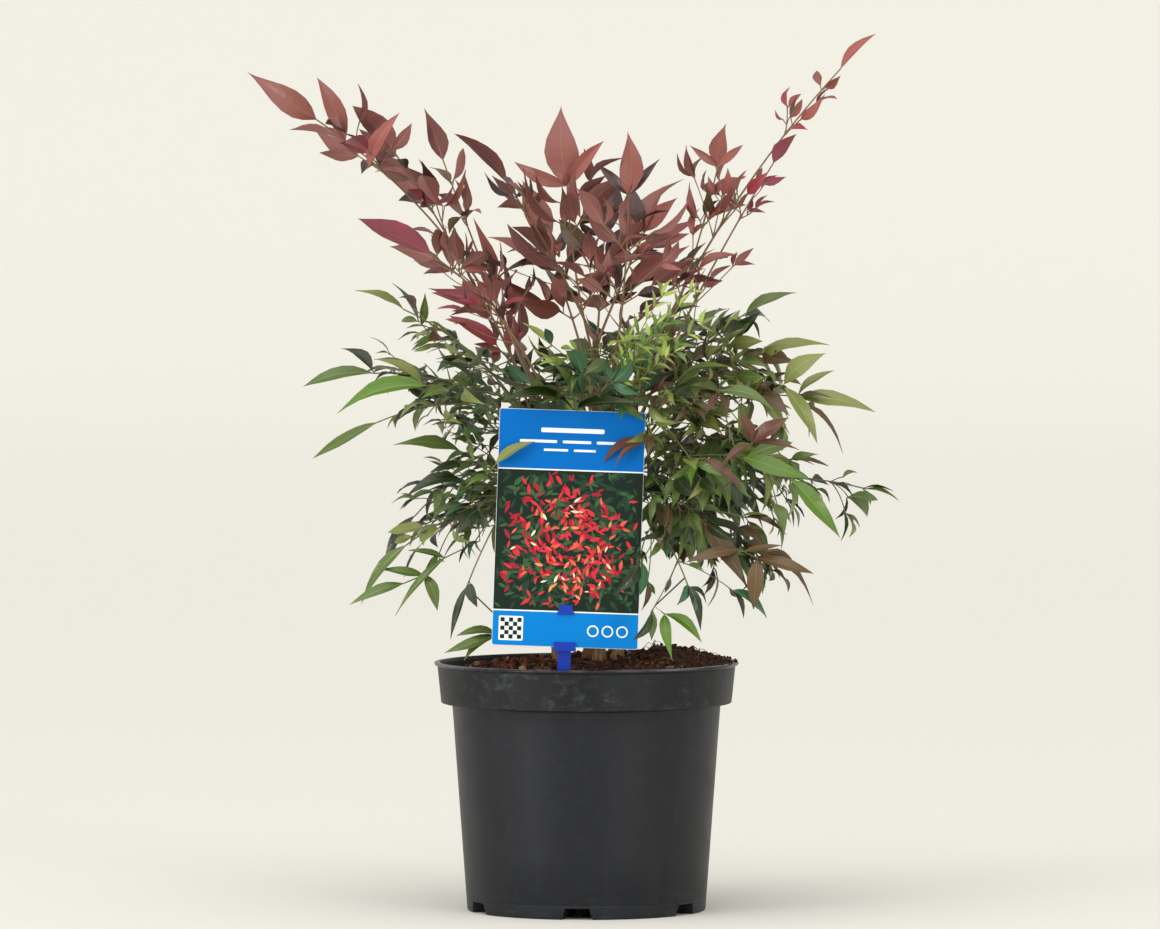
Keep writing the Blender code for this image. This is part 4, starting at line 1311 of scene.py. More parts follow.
def stalk_shell(spray, centres, grown):
    """The main stalk, which runs out into the end leaflet."""
    last = len(centres) - 1
    rings = []
    for i, centre in enumerate(centres):
        along = (centres[min(last, i + 1)] - centres[max(0, i - 1)]).normalized()
        across, over = frame_of(along, leaf_normal(spray, along))
        radius = STALK_RADIUS + (STALK_TIP_RADIUS - STALK_RADIUS) * i / last
        rings.append(ring(centre, across, over, radius + grown))
    direction, normal, length = end_leaf(spray, centres[-1])
    wide, tip = leaflet(centres[-1], direction, normal, length, spray.leaf * spray.tier.slim, grown)
    return spindle([*rings, wide], tip)


def shoot_shell(shoot, grown, start=0.0):
    """A side stalk with its end leaflet, or a leaflet alone where the twig's length is 0."""
    across, over = frame_of(shoot.direction, shoot.normal)
    end = shoot.root + shoot.direction * shoot.twig
    rings = [ring(shoot.root + shoot.direction * start, across, over, shoot.radius + grown)]
    if shoot.twig > start:
        rings.append(ring(end, across, over, shoot.radius * SIDE_STALK_SWELL + grown))
    wide, tip = leaflet(end, shoot.direction, shoot.normal, shoot.leaf, shoot.width, grown)
    return spindle([*rings, wide], tip)


class Space:
    """What already stands in the crown. The boxes are kept in arrays, so that a look-up is quick."""

    def __init__(self):
        self.owners, self.trees = [], []
        self.lows, self.highs = np.zeros((6000, 3)), np.zeros((6000, 3))

    def add(self, owner, shell):
        count = len(self.owners)
        self.lows[count], self.highs[count] = bounds_of(shell)
        self.owners.append(owner)
        self.trees.append(tree_of(shell))

    def is_clear(self, owner, wide, blade=None, seat=None, slim=None):
        """True if wide misses the other owners' pieces, blade the owner's own, and slim its seat."""
        count = len(self.owners)
        low, high = bounds_of(wide)
        near = (self.lows[:count] <= high).all(axis=1) & (self.highs[:count] >= low).all(axis=1)
        trees = {}
        for i in np.flatnonzero(near):
            other = self.owners[i]
            mine = blade if other == owner else slim if other == seat else wide
            if mine is None:
                continue
            if id(mine) not in trees:
                trees[id(mine)] = tree_of(mine)
            if trees[id(mine)].overlap(self.trees[i]):
                return False
        return True


def tree_of(shell):
    return BVHTree.FromPolygons(shell.points, shell.faces)


def bounds_of(shell):
    points = np.array([tuple(p) for p in shell.points])
    return points.min(axis=0), points.max(axis=0)


def fixed_space():
    """The pot with its soil, the label and the canes, as the sprays must miss them."""
    space = Space()
    band_foot = POT_HEIGHT - BAND_HEIGHT
    outline = [
        (0, 0),
        (BODY_FOOT_RADIUS, 0),
        (BODY_TOP_RADIUS, band_foot),
        (BAND_FOOT_RADIUS, band_foot + 1 * MM),
        (BAND_TOP_RADIUS, POT_HEIGHT - LIP_HEIGHT),
        (LIP_RADIUS, POT_HEIGHT - LIP_HEIGHT / 2),
        (LIP_RADIUS, POT_HEIGHT),
        (0, SOIL_CROWN + 4 * MM),
    ]
    space.add("pot", turned(outline, 32))
    half = CARD_WIDTH / 2 + 1 * MM
    card = block((-half, -3 * MM, -4 * MM), (half, 4 * MM, CARD_HEIGHT + 1 * MM))
    space.add("label", moved(card, card_matrix()))
    for cane in range(RING_CANES + 1):
        space.add(f"cane {cane}", cane_shell(cane))
    return space


def place_stalk(spray, space):
    """The stalk's bend and centres at the first lift and sway at which it misses all that stands."""
    for lift in LIFTS:
        for sway in SWAYS:
            bend = stalk_bend(spray, sway, lift)
            end = bend_end(spray, bend)
            centres = [bend_point(bend, end * share) for share in STALK_STATIONS]
            wide, slim = stalk_shell(spray, centres, CLEARANCE), stalk_shell(spray, centres, GAP / 2)
            if space.is_clear(spray.name, wide, seat=f"cane {spray.cane}", slim=slim):
                return bend, centres
    return None


def leaf_normal(spray, along, part=1.0):
    """Upwards, square to the stalk, and then rolled about it. The side stalks take part of the roll."""
    outward = Vector((spray.tip.x, spray.tip.y, 0)).normalized()
    flat = outward.cross(UP)
    flat = (flat - along * flat.dot(along)).normalized()
    over = flat.cross(along)
    roll = math.radians(spray.roll * part)
    return over * math.cos(roll) + flat * math.sin(roll)


def side_stalks(spray, centres, pair, hand):
    """The ways in which one side stalk may grow, the straightest first."""
    draw = random.Random(f"{spray.name} {pair} {hand}")
    station = NODE_STATIONS[pair]
    along = (centres[station + 1] - centres[station - 1]).normalized()
    across, over = frame_of(along, leaf_normal(spray, along, STALK_ROLL))
    angle = SIDE_ANGLE_DEG - SIDE_ANGLE_STEP_DEG * pair + draw.uniform(-9, 9)
    lift = draw.uniform(-0.2, 0.2)
    length = (spray.tip - centres[0]).length
    size = spray.leaf / spray.tier.leaf
    reach = length * (SIDE_LENGTH - SIDE_LENGTH_STEP * pair) * size * draw.uniform(0.88, 1.1)
    leaf = spray.leaf * draw.uniform(0.74, 0.92)
    for more_angle, more_lift, shorter in SIDE_TRIES:
        turn = math.radians(angle + more_angle)
        direction = along * math.cos(turn) + across * hand * math.sin(turn) + over * (lift + more_lift)
        direction = (direction + UP * spray.tier.lift).normalized()
        twig = max((reach - leaf) * shorter, 9 * MM)
        normal = leaf_normal(spray, direction)
        width = leaf * spray.tier.slim
        yield Shoot(centres[station], direction, normal, twig, leaf, width, SIDE_STALK_RADIUS)


def side_leaves(spray, stem, hand, key):
    """The ways in which one leaflet of the pair behind an end leaflet may grow."""
    draw = random.Random(f"{spray.name} {key} {hand} leaf")
    across, over = frame_of(stem.direction, leaf_normal(spray, stem.direction, LEAF_ROLL))
    place = stem.root + stem.direction * stem.twig * draw.uniform(0.6, 0.78)
    angle = LATERAL_ANGLE_DEG + draw.uniform(-9, 9)
    tilt = draw.uniform(-28, 28)
    length = stem.leaf * LATERAL_LEAF * draw.uniform(0.85, 1.1)
    for more_angle, more_tilt, shorter in LEAF_TRIES:
        turn, lean = math.radians(angle + more_angle), math.radians(tilt + more_tilt)
        heading = heading_of(spray, stem.direction, across * hand, over, turn, lean)
        normal = leaf_normal(spray, heading)
        size = length * shorter
        yield Shoot(place, heading, normal, 0.0, size, size * spray.tier.slim * 1.08, LEAF_ROOT_RADIUS)


def heading_of(spray, along, aside, over, turn, lean):
    heading = along * math.cos(turn) + aside * math.sin(turn) * math.cos(lean)
    heading += over * math.sin(turn) * math.sin(lean) + UP * spray.tier.lift * 0.6
    return heading.normalized()


def finer_ways(spray, stem, hand, key, finer):
    """The ways in which one shoot of a finer pair may grow."""
    draw = random.Random(f"{spray.name} {key} {hand} finer")
    habit = HABITS[spray.tier.name]
    across, over = frame_of(stem.direction, stem.normal)
    place = stem.root + stem.direction * stem.twig * min(0.99, finer.place * draw.uniform(0.9, 1.08))
    angle = finer.angle_deg + draw.uniform(-13, 13)
    tilt = draw.gauss(0, habit.tilt_deg)
    size = stem.leaf * finer.leaf * draw.uniform(0.70, 1.15)
    twig = stem.leaf * finer.twig * draw.uniform(0.7, 1.4)
    slim = spray.tier.slim * draw.uniform(*habit.broad)
    roll = draw.gauss(0, habit.roll_deg)
    for more_angle, more_tilt, shorter in LEAF_TRIES:
        turn, lean = math.radians(angle + more_angle), math.radians(tilt + more_tilt)
        heading = heading_of(spray, stem.direction, across * hand, over, turn, lean)
        heading = (heading + UP * (0 if is_open(spray) else habit.sag)).normalized()
        leaf = size * shorter
        if leaf > SMALLEST_LEAF:
            normal = rolled(leaf_normal(spray, heading, LEAF_ROLL), heading, roll)
            radius = SIDE_STALK_RADIUS * 0.7
            yield Shoot(place, heading, normal, twig * shorter, leaf, leaf * slim, radius)


def rolled(normal, direction, roll_deg):
    return Matrix.Rotation(math.radians(roll_deg), 3, direction) @ normal


def first_clear(spray, space, ways, clearance=CLEARANCE):
    """The first of the ways in which the shoot misses everything else. None of them may do."""
    for shoot in ways:
        blade = shoot_shell(shoot, 0.1 * MM, OWN_START)
        if space.is_clear(spray.name, shoot_shell(shoot, clearance), blade):
            space.add(spray.name, shoot_shell(shoot, 0))
            return shoot
    return None


# A stem is a shoot that others grow on, with its place in the list of its spray's shoots.
Branch = namedtuple("Branch", "spray bend centres shoots")
Grown = namedtuple("Grown", "shoot parent")


def grow(sprays, space):
    """The branches as in the solids: all stalks first, then the side stalks, then the leaflets."""
    branches = []
    for spray in sprays:
        placed = place_stalk(spray, space)
        if placed:
            bend, centres = placed
            space.add(spray.name, stalk_shell(spray, centres, 0))
            branches.append(Branch(spray, bend, centres, []))
    for spray, _, centres, shoots in branches:
        for pair in range(len(NODE_STATIONS)):
            for hand in (-1, 1):
                shoot = first_clear(spray, space, side_stalks(spray, centres, pair, hand))
                if shoot:
                    shoots.append(Grown(shoot, None))
    for spray, _, centres, shoots in branches:
        stems = [end_stem(spray, centres), *[grown.shoot for grown in shoots]]
        for key, stem in enumerate(stems):
            for hand in (-1, 1):
                shoot = first_clear(spray, space, side_leaves(spray, stem, hand, key))
                if shoot:
                    shoots.append(Grown(shoot, key - 1 if key else "end"))
    return branches


def end_stem(spray, centres):
    """The stalk's last stretch with the end leaflet, as a stem for the pair behind it."""
    last = centres[-1] - centres[-2]
    direction = last.normalized()
    normal = leaf_normal(spray, direction)
    width = spray.leaf * spray.tier.slim
    return Shoot(centres[-2], direction, normal, last.length, spray.leaf, width, STALK_TIP_RADIUS)


def grow_finer(branches):
    """The same branches with smaller leaflets, and further shoots where there is room."""
    space = fixed_space()
    finer = []
    for spray, bend, _, shoots in branches:
        habit = HABITS[spray.tier.name]
        draw = random.Random(f"{spray.name} looks")
        flat, roll_deg, usual, slope = (0.3, 1), habit.roll_deg, 1, 1
        if is_open(spray):
            flat, roll_deg, usual, slope = (0.0, 0.7), OPEN_ROLL_DEG, OPEN_SIZE, OPEN_SLOPE
        elif spray.tier == PLUME:
            slope = PLUME_SLOPE
        small = LEAF_SIZES.get(spray.name, usual)
        leaf = spray.leaf * draw.uniform(*habit.end) * LEAF_SIZES.get(spray.name, 1)
        slight = spray._replace(leaf=leaf)
        end = bend_end(slight, bend)
        tips = [bend_point(bend, end * share) for share in STALK_STATIONS]
        space.add(spray.name, stalk_shell(slight, tips, 0))
        kept = []
        for shoot, parent in shoots:
            share = draw.uniform(*(habit.side if shoot.twig else habit.pair)) * small
            twig = shoot.twig + shoot.leaf * (1 - share) * (1 if shoot.twig else 0.45)
            level = leaf_normal(spray, shoot.direction, draw.uniform(*flat))
            width = shoot.width * share * draw.uniform(*habit.broad)
            smaller = shoot._replace(leaf=shoot.leaf * share, width=width, twig=twig)
            smaller = seated(spray, space, smaller, level, draw.gauss(0, roll_deg), slope)
            kept.append(Grown(smaller, parent))
        finer.append(Branch(slight, bend, tips, kept))
    for branch in finer:
        grow_pairs(branch, space)
    for branch in finer:
        grow_inner(branch, space)
    return finer


def seated(spray, space, shoot, level, roll_deg, slope):
    """The shoot, laid as level and rolled as far about its own axis as the others leave room."""
    ways = [(kept, share) for kept in (slope, (1 + slope) / 2, 1) for share in (1, -1, 0.5, -0.5, 0)]
    for kept, share in ways:
        way = Vector((shoot.direction.x, shoot.direction.y, shoot.direction.z * kept)).normalized()
        over = (level - way * level.dot(way)).normalized()
        turned_leaf = shoot._replace(direction=way, normal=rolled(over, way, roll_deg * share))
        blade = shoot_shell(turned_leaf, 0.1 * MM, OWN_START)
        if space.is_clear(spray.name, shoot_shell(turned_leaf, FINE_CLEARANCE), blade):
            break
    space.add(spray.name, shoot_shell(turned_leaf, 0))
    return turned_leaf


def is_open(spray):
    """The green tiers are more open at the left, with leaflets that lie level."""
    return spray.tier != PLUME and spray.tip.x < OPEN_SIDE and spray.tip.y < -OPEN_SIDE


def fullness(spray):
    """How often a further shoot grows."""
    return HABITS[spray.tier.name].chance * (OPEN_CHANCE if is_open(spray) else 1)


def grow_pairs(branch, space):
    """Pairs at the base of each end leaflet, then small shoots lower down, with trios of their own."""
    spray, _, centres, shoots = branch
    chance = fullness(spray)
    sides = [(k, grown.shoot) for k, grown in enumerate(shoots) if grown.parent is None]
    stems = [("end", end_stem(spray, centres)), *sides]
    for key, stem in stems:
        add_pair(branch, space, stem, key, f"{key} trio", TRIO, chance)
    for key, stem in stems:
        if stem.twig > LOW_SHOOT_FROM:
            for place in add_pair(branch, space, stem, key, f"{key} low", LOW_SHOOT, chance):
                low = shoots[place].shoot
                add_pair(branch, space, low, place, f"{place} small", SMALL_TRIO, chance)
    chance *= SECOND_CHANCE
    for key, (shoot, parent) in enumerate(tuple(shoots)):
        if parent is not None and shoot.leaf > SECOND_FROM:
            add_pair(branch, space, shoot, key, f"{key} second", SMALL_TRIO, chance)


def add_pair(branch, space, stem, parent, key, finer, chance):
    """The places in the branch's list of the shoots that found room."""
    found = []
    for hand in (-1, 1):
        if random.Random(f"{branch.spray.name} {key} {hand} chance").random() > chance:
            continue
        ways = finer_ways(branch.spray, stem, hand, key, finer)
        shoot = first_clear(branch.spray, space, ways, FINE_CLEARANCE)
        if shoot:
            found.append(len(branch.shoots))
            branch.shoots.append(Grown(shoot, parent))
    return found


def grow_inner(branch, space):
    """Small shoots low on the stalks, which fill the heart of the crown."""
    spray, bend, _, shoots = branch
    stations, chance, sprig = HABITS[spray.tier.name].inner
    chance *= fullness(spray) / HABITS[spray.tier.name].chance
    end = bend_end(spray, bend)
    for station in stations:
        root = bend_point(bend, end * station)
        along = (bend_point(bend, end * station + 0.02) - root).normalized()
        normal = leaf_normal(spray, along, STALK_ROLL)
        stem = Shoot(root, along, normal, 0.0, spray.tier.leaf, 0.0, SIDE_STALK_RADIUS)
        for place in add_pair(branch, space, stem, "stalk", f"inner {station}", sprig, chance):
            grown = shoots[place].shoot
            add_pair(branch, space, grown, place, f"inner {station} {place}", SMALL_TRIO, INNER_CHANCE)


# The blade of a leaflet: where its rows lie along it, and its columns from the edge in to the midrib.
Blade = namedtuple("Blade", "rows columns")
BROAD_BLADE = Blade((0, 0.05, 0.14, 0.27, 0.42, 0.58, 0.74, 0.88, 0.955), (1, 0.55))
SMALL_BLADE = Blade((0, 0.10, 0.25, 0.45, 0.66, 0.86), (1,))
BROAD_FROM = 20 * MM
BLADE_THICKNESS = 0.28 * MM
RIB_SHARE = 0.0055
EDGE_WIDTH = 0.3 * MM
WAVES = 1.8
UNDERSIDE_DULLER = 0.16

# Ranges of a blade's form, by tier: where it is widest, how full its outline is, how far it arches up
# and its tip bends down, the fold at its midrib, how it curls, twists, waves and bends aside.
Form = namedtuple("Form", "widest full arch droop fold_deg cup twist_deg wave aside")
GREEN_FORM = Form((0.35, 0.45), (0.80, 1.08), (0.03, 0.12), (0.06, 0.34), (6, 34), (-0.06, 0.16),
                  (-36, 36), (0.02, 0.09), (-0.09, 0.09))
RED_FORM = Form((0.37, 0.46), (0.84, 1.10), (0.0, 0.08), (0.04, 0.46), (6, 36), (-0.06, 0.14),
                (-34, 34), (0.02, 0.08), (-0.08, 0.08))
FORMS = {"plume": RED_FORM, "shoulder": GREEN_FORM, "skirt": GREEN_FORM}


class Leaves:
    """The leaflets of one piece, kept as rows of numbers until they become one mesh."""

    def __init__(self):
        self.rows = []
        self.tints = []

    def add(self, root, direction, normal, length, width, tint, tier, draw):
        across, over = frame_of(direction, normal)
        form = [draw.uniform(*limits) for limits in FORMS[tier.name]]
        phase = draw.uniform(0, 2 * math.pi)
        self.tints.append(tint)
        self.rows.append((*root, *direction, *across, *over, length, width, *form, phase))

    def piece(self, name, tints):
        data, tint_of = np.array(self.rows), np.array(self.tints)
        broad = data[:, 12] > BROAD_FROM
        points, faces, which, uvs = [], [], [], []
        for chosen, blade in ((broad, BROAD_BLADE), (~broad, SMALL_BLADE)):
            if not chosen.any():
                continue
            blades, uv = blade_points(data[chosen], blade)
            one, kinds = blade_faces(blade)
            size, first = blades.shape[1], sum(len(p) for p in points)
            starts = range(first, first + len(blades) * size, size)
            faces += [tuple(start + i for i in face) for start in starts for face in one]
            which.append((tint_of[chosen][:, None] * 3 + np.array(kinds)[None, :]).ravel())
            points.append(blades.reshape(-1, 3))
            uvs.append(np.tile(uv, (len(blades), 1)))
        finishes = []
        for tint in tints:
            code = TINTS[tint]
            finishes.append(leaf_finish(f"{tint}_top", code.top, code.roughness, 0.10 * MM))
            dull = code.roughness + UNDERSIDE_DULLER
            finishes.append(leaf_finish(f"{tint}_under", code.under, dull, -0.12 * MM))
            finishes.append(leaf_finish(f"{tint}_rib", code.rib, 0.5, 0.02 * MM))
        made = mesh_piece(name, np.concatenate(points), faces, finishes, np.concatenate(which), 60)
        corners = np.empty(len(made.data.loops), np.int32)
        made.data.loops.foreach_get("vertex_index", corners)
        layer = made.data.uv_layers.new(name="leaf")
        layer.data.foreach_set("uv", np.concatenate(uvs)[corners].astype(np.float32).ravel())
        return made


def blade_points(data, blade):
    """The points of every leaflet, as rings round it and its tip, and their places on it."""
    root, along, across, over = (data[:, k:k + 3] for k in (0, 3, 6, 9))
    length, width, widest, full, arch, droop, fold, cup, twist, wave, aside, phase = (
        data[:, k][:, None] for k in range(12, 24)
    )
    t = np.array(blade.rows)[None, :]
    taper = full * (1 - widest) / widest
    half = width / 2 * (t / widest) ** full * ((1 - t) / (1 - widest)) ** taper
    half = np.maximum(half, EDGE_WIDTH)
    rise = length * (arch * 4 * t * (1 - t) - droop * t ** 2)
    drift = length * aside * np.sin(np.pi * t)
    centre = (
        root[:, None] + along[:, None] * (length * t)[..., None]
        + over[:, None] * rise[..., None] + across[:, None] * drift[..., None]
    )
    turn = (np.radians(twist) * (t - 0.3))[..., None]
    side_way = across[:, None] * np.cos(turn) + over[:, None] * np.sin(turn)
    up_way = over[:, None] * np.cos(turn) - across[:, None] * np.sin(turn)
    rib = np.minimum(length * RIB_SHARE * (1.25 - t) / half, 0.4)
    ones = np.ones_like(rib)
    left = [-column * ones for column in blade.columns] + [-rib]
    columns = np.stack(left + [-column for column in reversed(left)], axis=-1)
    reach, slope = half[..., None], np.radians(fold)[..., None]
    outward = reach * columns * np.cos(slope)
    phases = 2 * np.pi * WAVES * t[..., None] + phase[..., None] + np.sign(columns)
    ripple = wave[..., None] * np.sin(phases)
    lift = reach * np.abs(columns) * (np.sin(slope) + ripple) - reach * cup[..., None] * columns ** 2
    top = centre[:, :, None] + side_way[:, :, None] * outward[..., None]
    top = top + up_way[:, :, None] * lift[..., None]
    under = top[:, :, -2:0:-1] - up_way[:, :, None] * BLADE_THICKNESS
    rings = np.concatenate([top, under], axis=2)
    tip = (root + along * length - over * (length * droop))[:, None]
    points = np.concatenate([rings.reshape(len(data), -1, 3), tip], axis=1)
    spots = np.concatenate([columns[0, 0], columns[0, 0, -2:0:-1]]) * 0.5 + 0.5
    uv = np.stack([np.tile(spots, len(blade.rows)), np.repeat(blade.rows, len(spots))], axis=1)
    return points, np.concatenate([uv, [[0.5, 1.0]]])


def blade_faces(blade):
    """Faces of one leaflet, with 0 for its upper side, 1 for its underside and 2 for its midrib."""
    rows, count = len(blade.rows), 2 * len(blade.columns) + 2
    wide = 2 * count - 2
    ribs = (count // 2 - 1, count + count // 2 - 2)
    faces, kinds = [tuple(reversed(range(wide)))], [1]
    tip = rows * wide
    for i in range(wide):
        j = (i + 1) % wide
        kind = 2 if i in ribs else 0 if i < count - 1 else 1
        for k in range(rows - 1):
            low, high = k * wide, (k + 1) * wide
            faces.append((low + i, low + j, high + j, high + i))
            kinds.append(kind)
        last = (rows - 1) * wide
        faces.append((last + i, last + j, tip))
        kinds.append(kind)
    return faces, kinds


def curved(root, end, over, bow, steps=7):
    """Points of a gently bowed twig between two ends."""
    shares = [k / (steps - 1) for k in range(steps)]
    return [root.lerp(end, s) + over * bow * 4 * s * (1 - s) for s in shares]


BOWED_FROM = 7 * MM
STEM_RADII = (1.9, 1.1, 1.0, 0.95, 0.95, 1.0, 1.1)
FINE_STEM = 0.8
SHORT_TWIG_RADII = (0.45 * MM, 0.36 * MM, 0.34 * MM)
NECK_RADII = (0.48 * MM, 0.42 * MM, 0.3 * MM)


def dress_branch(branch, leaves, twigs, number):
    """The smooth stalk, twigs and leaflets of one spray."""
    spray, bend, _, shoots = branch
    main = SPRAY_TINTS[spray.tier.name][number]
    palette = tints_of(spray.tier.name)
    add_main_stalk(spray, bend, twigs)
    draw = random.Random(f"{spray.name} end")
    centre = bend_point(bend, bend_end(spray, bend))
    direction, normal, length = end_leaf(spray, centre)
    if spray.name in FRONT_FACING:
        front = Vector((draw.uniform(-0.3, 0.3), -1, 0.2))
        normal = (front - direction * front.dot(direction)).normalized()
    width = spray.leaf * spray.tier.slim * SLIM_ENDS.get(spray.name, 1)
    end_tint = palette.index(END_TINTS.get(spray.name, main))
    leaves.add(centre, direction, normal, length, width, end_tint, spray.tier, draw)
    if spray.name in FRONT_THREES:
        add_end_pair(spray, leaves, centre, direction, normal, length, palette, draw)
    accent = ACCENT[spray.tier.name] if spray.tip.x > 0 else SIBLINGS[main][0]
    choices = MIXES.get(spray.name, (main, *SIBLINGS[main], accent))
    bows = {}
    for place, (shoot, parent) in enumerate(shoots):
        draw = random.Random(f"{spray.name} {place} looks")
        tint = draw.choices(choices, TINT_SHARES)[0]
        _, over = frame_of(shoot.direction, shoot.normal)
        root = on_twig(bows[parent], shoot.root) if parent in bows else shoot.root
        end = shoot.root + shoot.direction * shoot.twig
        if shoot.twig > BOWED_FROM:
            bow = shoot.twig * draw.uniform(0.02, 0.08) * (1 if spray.tier.lift < 0 else -1)
            bows[place] = curved(root, end, over, bow)
            slim = SIDE_STALK_RADIUS * (1 if parent is None else FINE_STEM)
            twigs.add(*tube(bows[place], [slim * share for share in STEM_RADII], 6))
        elif shoot.twig:
            twigs.add(*tube([root, root.lerp(end, 0.5), end], SHORT_TWIG_RADII, 5))
        stub, neck = end - shoot.direction * 0.4 * MM, end + shoot.direction * 1.2 * MM
        twigs.add(*tube([stub, end, neck], NECK_RADII, 5))
        leaves.add(end, shoot.direction, shoot.normal, shoot.leaf, shoot.width,
                   palette.index(tint), spray.tier, draw)


END_PAIR_DEG = (38, 66)
END_PAIR_TILT = (-0.2, 0.2)
END_PAIR_SIZE = (0.66, 0.84)
END_PAIR_SLIM = (0.22, 0.32)
END_PAIR_TINTS = ("wine", "dark_wine", "rose")


def add_end_pair(spray, leaves, centre, direction, normal, length, palette, draw):
    """The two leaflets at the base of an end leaflet that turns to the front."""
    across = direction.cross(normal).normalized()
    for hand in (-1, 1):
        turn = math.radians(draw.uniform(*END_PAIR_DEG))
        heading = direction * math.cos(turn) + across * hand * math.sin(turn)
        heading = (heading - normal * draw.uniform(*END_PAIR_TILT)).normalized()
        over = (normal - heading * normal.dot(heading)).normalized()
        size = length * draw.uniform(*END_PAIR_SIZE)
        tint = palette.index(draw.choice(END_PAIR_TINTS))
        width = size * draw.uniform(*END_PAIR_SLIM)
        leaves.add(centre, heading, over, size, width, tint, spray.tier, draw)


def on_twig(centres, point):
    """The point of a bowed twig that lies beside a point of the straight one."""
    chord = centres[-1] - centres[0]
    share = max(0.0, min(1.0, (point - centres[0]).dot(chord) / chord.length_squared))
    place = share * (len(centres) - 1)
    low = min(int(place), len(centres) - 2)
    return centres[low].lerp(centres[low + 1], place - low)


# The looks of a stalk: its radius at the foot and at the tip, as shares of the solid's, how much it
# swells at its foot and at its joints, and over what share of its length.
STALK_FOOT_SHARE = 0.66
STALK_TIP_SHARE = 0.32
STALK_FOOT_SWELL = (0.5, 0.03)
STALK_JOINT_SWELL = (0.4, 0.012)
STALK_STEPS = 16
STALK_NEAR_JOINT = (-0.02, -0.008, 0.008, 0.02)
CLASP_RADII = (1.9 * MM, 1.7 * MM)


def add_main_stalk(spray, bend, twigs):
    """The stalk leaves its cane by a clasping foot and is swollen at its joints."""
    end = bend_end(spray, bend)
    at_cane = cane_point(spray.cane, spray.share)
    joints = [STALK_STATIONS[station] for station in NODE_STATIONS]
    stops = {k / STALK_STEPS for k in range(STALK_STEPS + 1)}
    stops |= {joint + away for joint in joints for away in STALK_NEAR_JOINT}
    centres = [at_cane - UP * 3 * MM, at_cane.lerp(bend[0], 0.6) - UP * 1.2 * MM]
    radii = list(CLASP_RADII)
    for stop in sorted(stops):
        centres.append(bend_point(bend, end * stop))
        taper = (STALK_TIP_SHARE - STALK_FOOT_SHARE) * min(1, stop * 1.15)
        radius = STALK_RADIUS * (STALK_FOOT_SHARE + taper)
        radius *= 1 + STALK_FOOT_SWELL[0] * math.exp(-stop / STALK_FOOT_SWELL[1])
        for joint in joints:
            away = (stop - joint) / STALK_JOINT_SWELL[1]
            radius *= 1 + STALK_JOINT_SWELL[0] * math.exp(-away ** 2)
        radii.append(radius)
    twigs.add(*tube(centres, radii, 8))


# Sprigs of their own, from the top down: large leaflets at the plume's left arm, behind the label's top
# and over its upper corners, at the crown's right side, low at the left and right, and at both sides of
# the label's foot. Each has its twig's points and its leaflets (root, tip and width), in mm.
Sprig = namedtuple("Sprig", "tier tint twig leaflets")
SPRIGS = (
    Sprig(PLUME, "wine", ((-149, -18, 477), (-149.5, -18.5, 480)), (
        ((-149.5, -18.5, 480), (-166, -22, 519), 13.5),
    )),
    Sprig(PLUME, "rose", ((-137, -18, 462), (-135, -19, 464)), (
        ((-135, -19, 464), (-121, -26, 497), 11),
    )),
    Sprig(SHOULDER, "mid", ((-8, -38, 300), (-7.5, -56, 312)), (
        ((-7.5, -56, 312), (-17, -92, 346), 15),
    )),
    Sprig(SHOULDER, "deep", ((-6, -40, 302), (-8, -57, 314)), (
        ((-8, -57, 314), (-44, -92, 331), 11),
        ((-7, -57, 314), (28, -92, 326), 10),
    )),
    Sprig(SHOULDER, "olive", ((-64, -55, 269), (-60, -64.8, 275.6), (-56, -66, 280.5)), (
        ((-56, -66, 280.5), (-32, -66.5, 296), 8),
    )),
    Sprig(SHOULDER, "russet", ((46, -50, 304), (41, -62.5, 299), (36, -65, 295.3)), (
        ((36, -65, 295.3), (6.5, -67, 284), 7),
        ((35.5, -65.5, 294.5), (16, -69, 279.5), 5.5),
    )),
    Sprig(SHOULDER, "olive", ((116, -30, 326), (122.5, -31, 328.5)), (
        ((122.5, -31, 329), (145, -36, 350.5), 13.5),
        ((123, -31, 327), (145, -38, 294.5), 11.5),
    )),
    Sprig(SHOULDER, "russet", ((92, -66, 288), (102, -74, 294)), (
        ((102.5, -74, 294.5), (118, -84, 312), 12.5),
        ((101.5, -74, 295), (94.5, -82, 313), 8.5),
        ((103, -74, 294), (129, -82, 295.5), 6),
        ((101, -74, 293), (82, -86, 284), 7),
    )),
    Sprig(SHOULDER, "russet", ((64, -66, 284), (73, -74, 284.5)), (
        ((73, -74, 284.5), (97, -84, 267.5), 8),
    )),
    Sprig(SKIRT, "bronze", ((76, -62, 236), (94, -70, 228), (105.5, -73, 223)), (
        ((106, -73, 223), (139, -82, 219.5), 11),
        ((105, -73, 222.5), (101, -84, 194.5), 11),
        ((94, -70, 228), (63, -86, 226.5), 9),
        ((97, -71, 227), (118, -80, 234), 6),
    )),
    Sprig(SKIRT, "mid", ((-66, -34, 232), (-88, -40, 221.5), (-101, -42, 211), (-113, -44, 206)), (
        ((-113, -44, 206), (-147, -52, 194.5), 8.5),
        ((-101, -42, 211), (-127, -48, 217), 8),
        ((-88, -40, 221.5), (-120, -50, 188), 5.5),
        ((-100, -42, 211.5), (-92, -50, 191), 8),
        ((-88, -40, 221.5), (-110, -46, 228), 6),
    )),
    Sprig(SKIRT, "mid", ((-50, -40, 180), (-56, -48, 174)), (
        ((-56, -48, 174), (-88, -60, 166), 9),
        ((-55, -47.5, 174.5), (-79, -58, 177), 7),
        ((-56, -48, 174), (-76, -60, 160.5), 6.5),
    )),
    Sprig(SKIRT, "bright", ((42, -46, 192), (48, -60, 188)), (
        ((48, -60, 188), (71, -76, 175), 8.5),
        ((48, -60, 187.5), (53, -78, 165), 7.5),
    )),
)
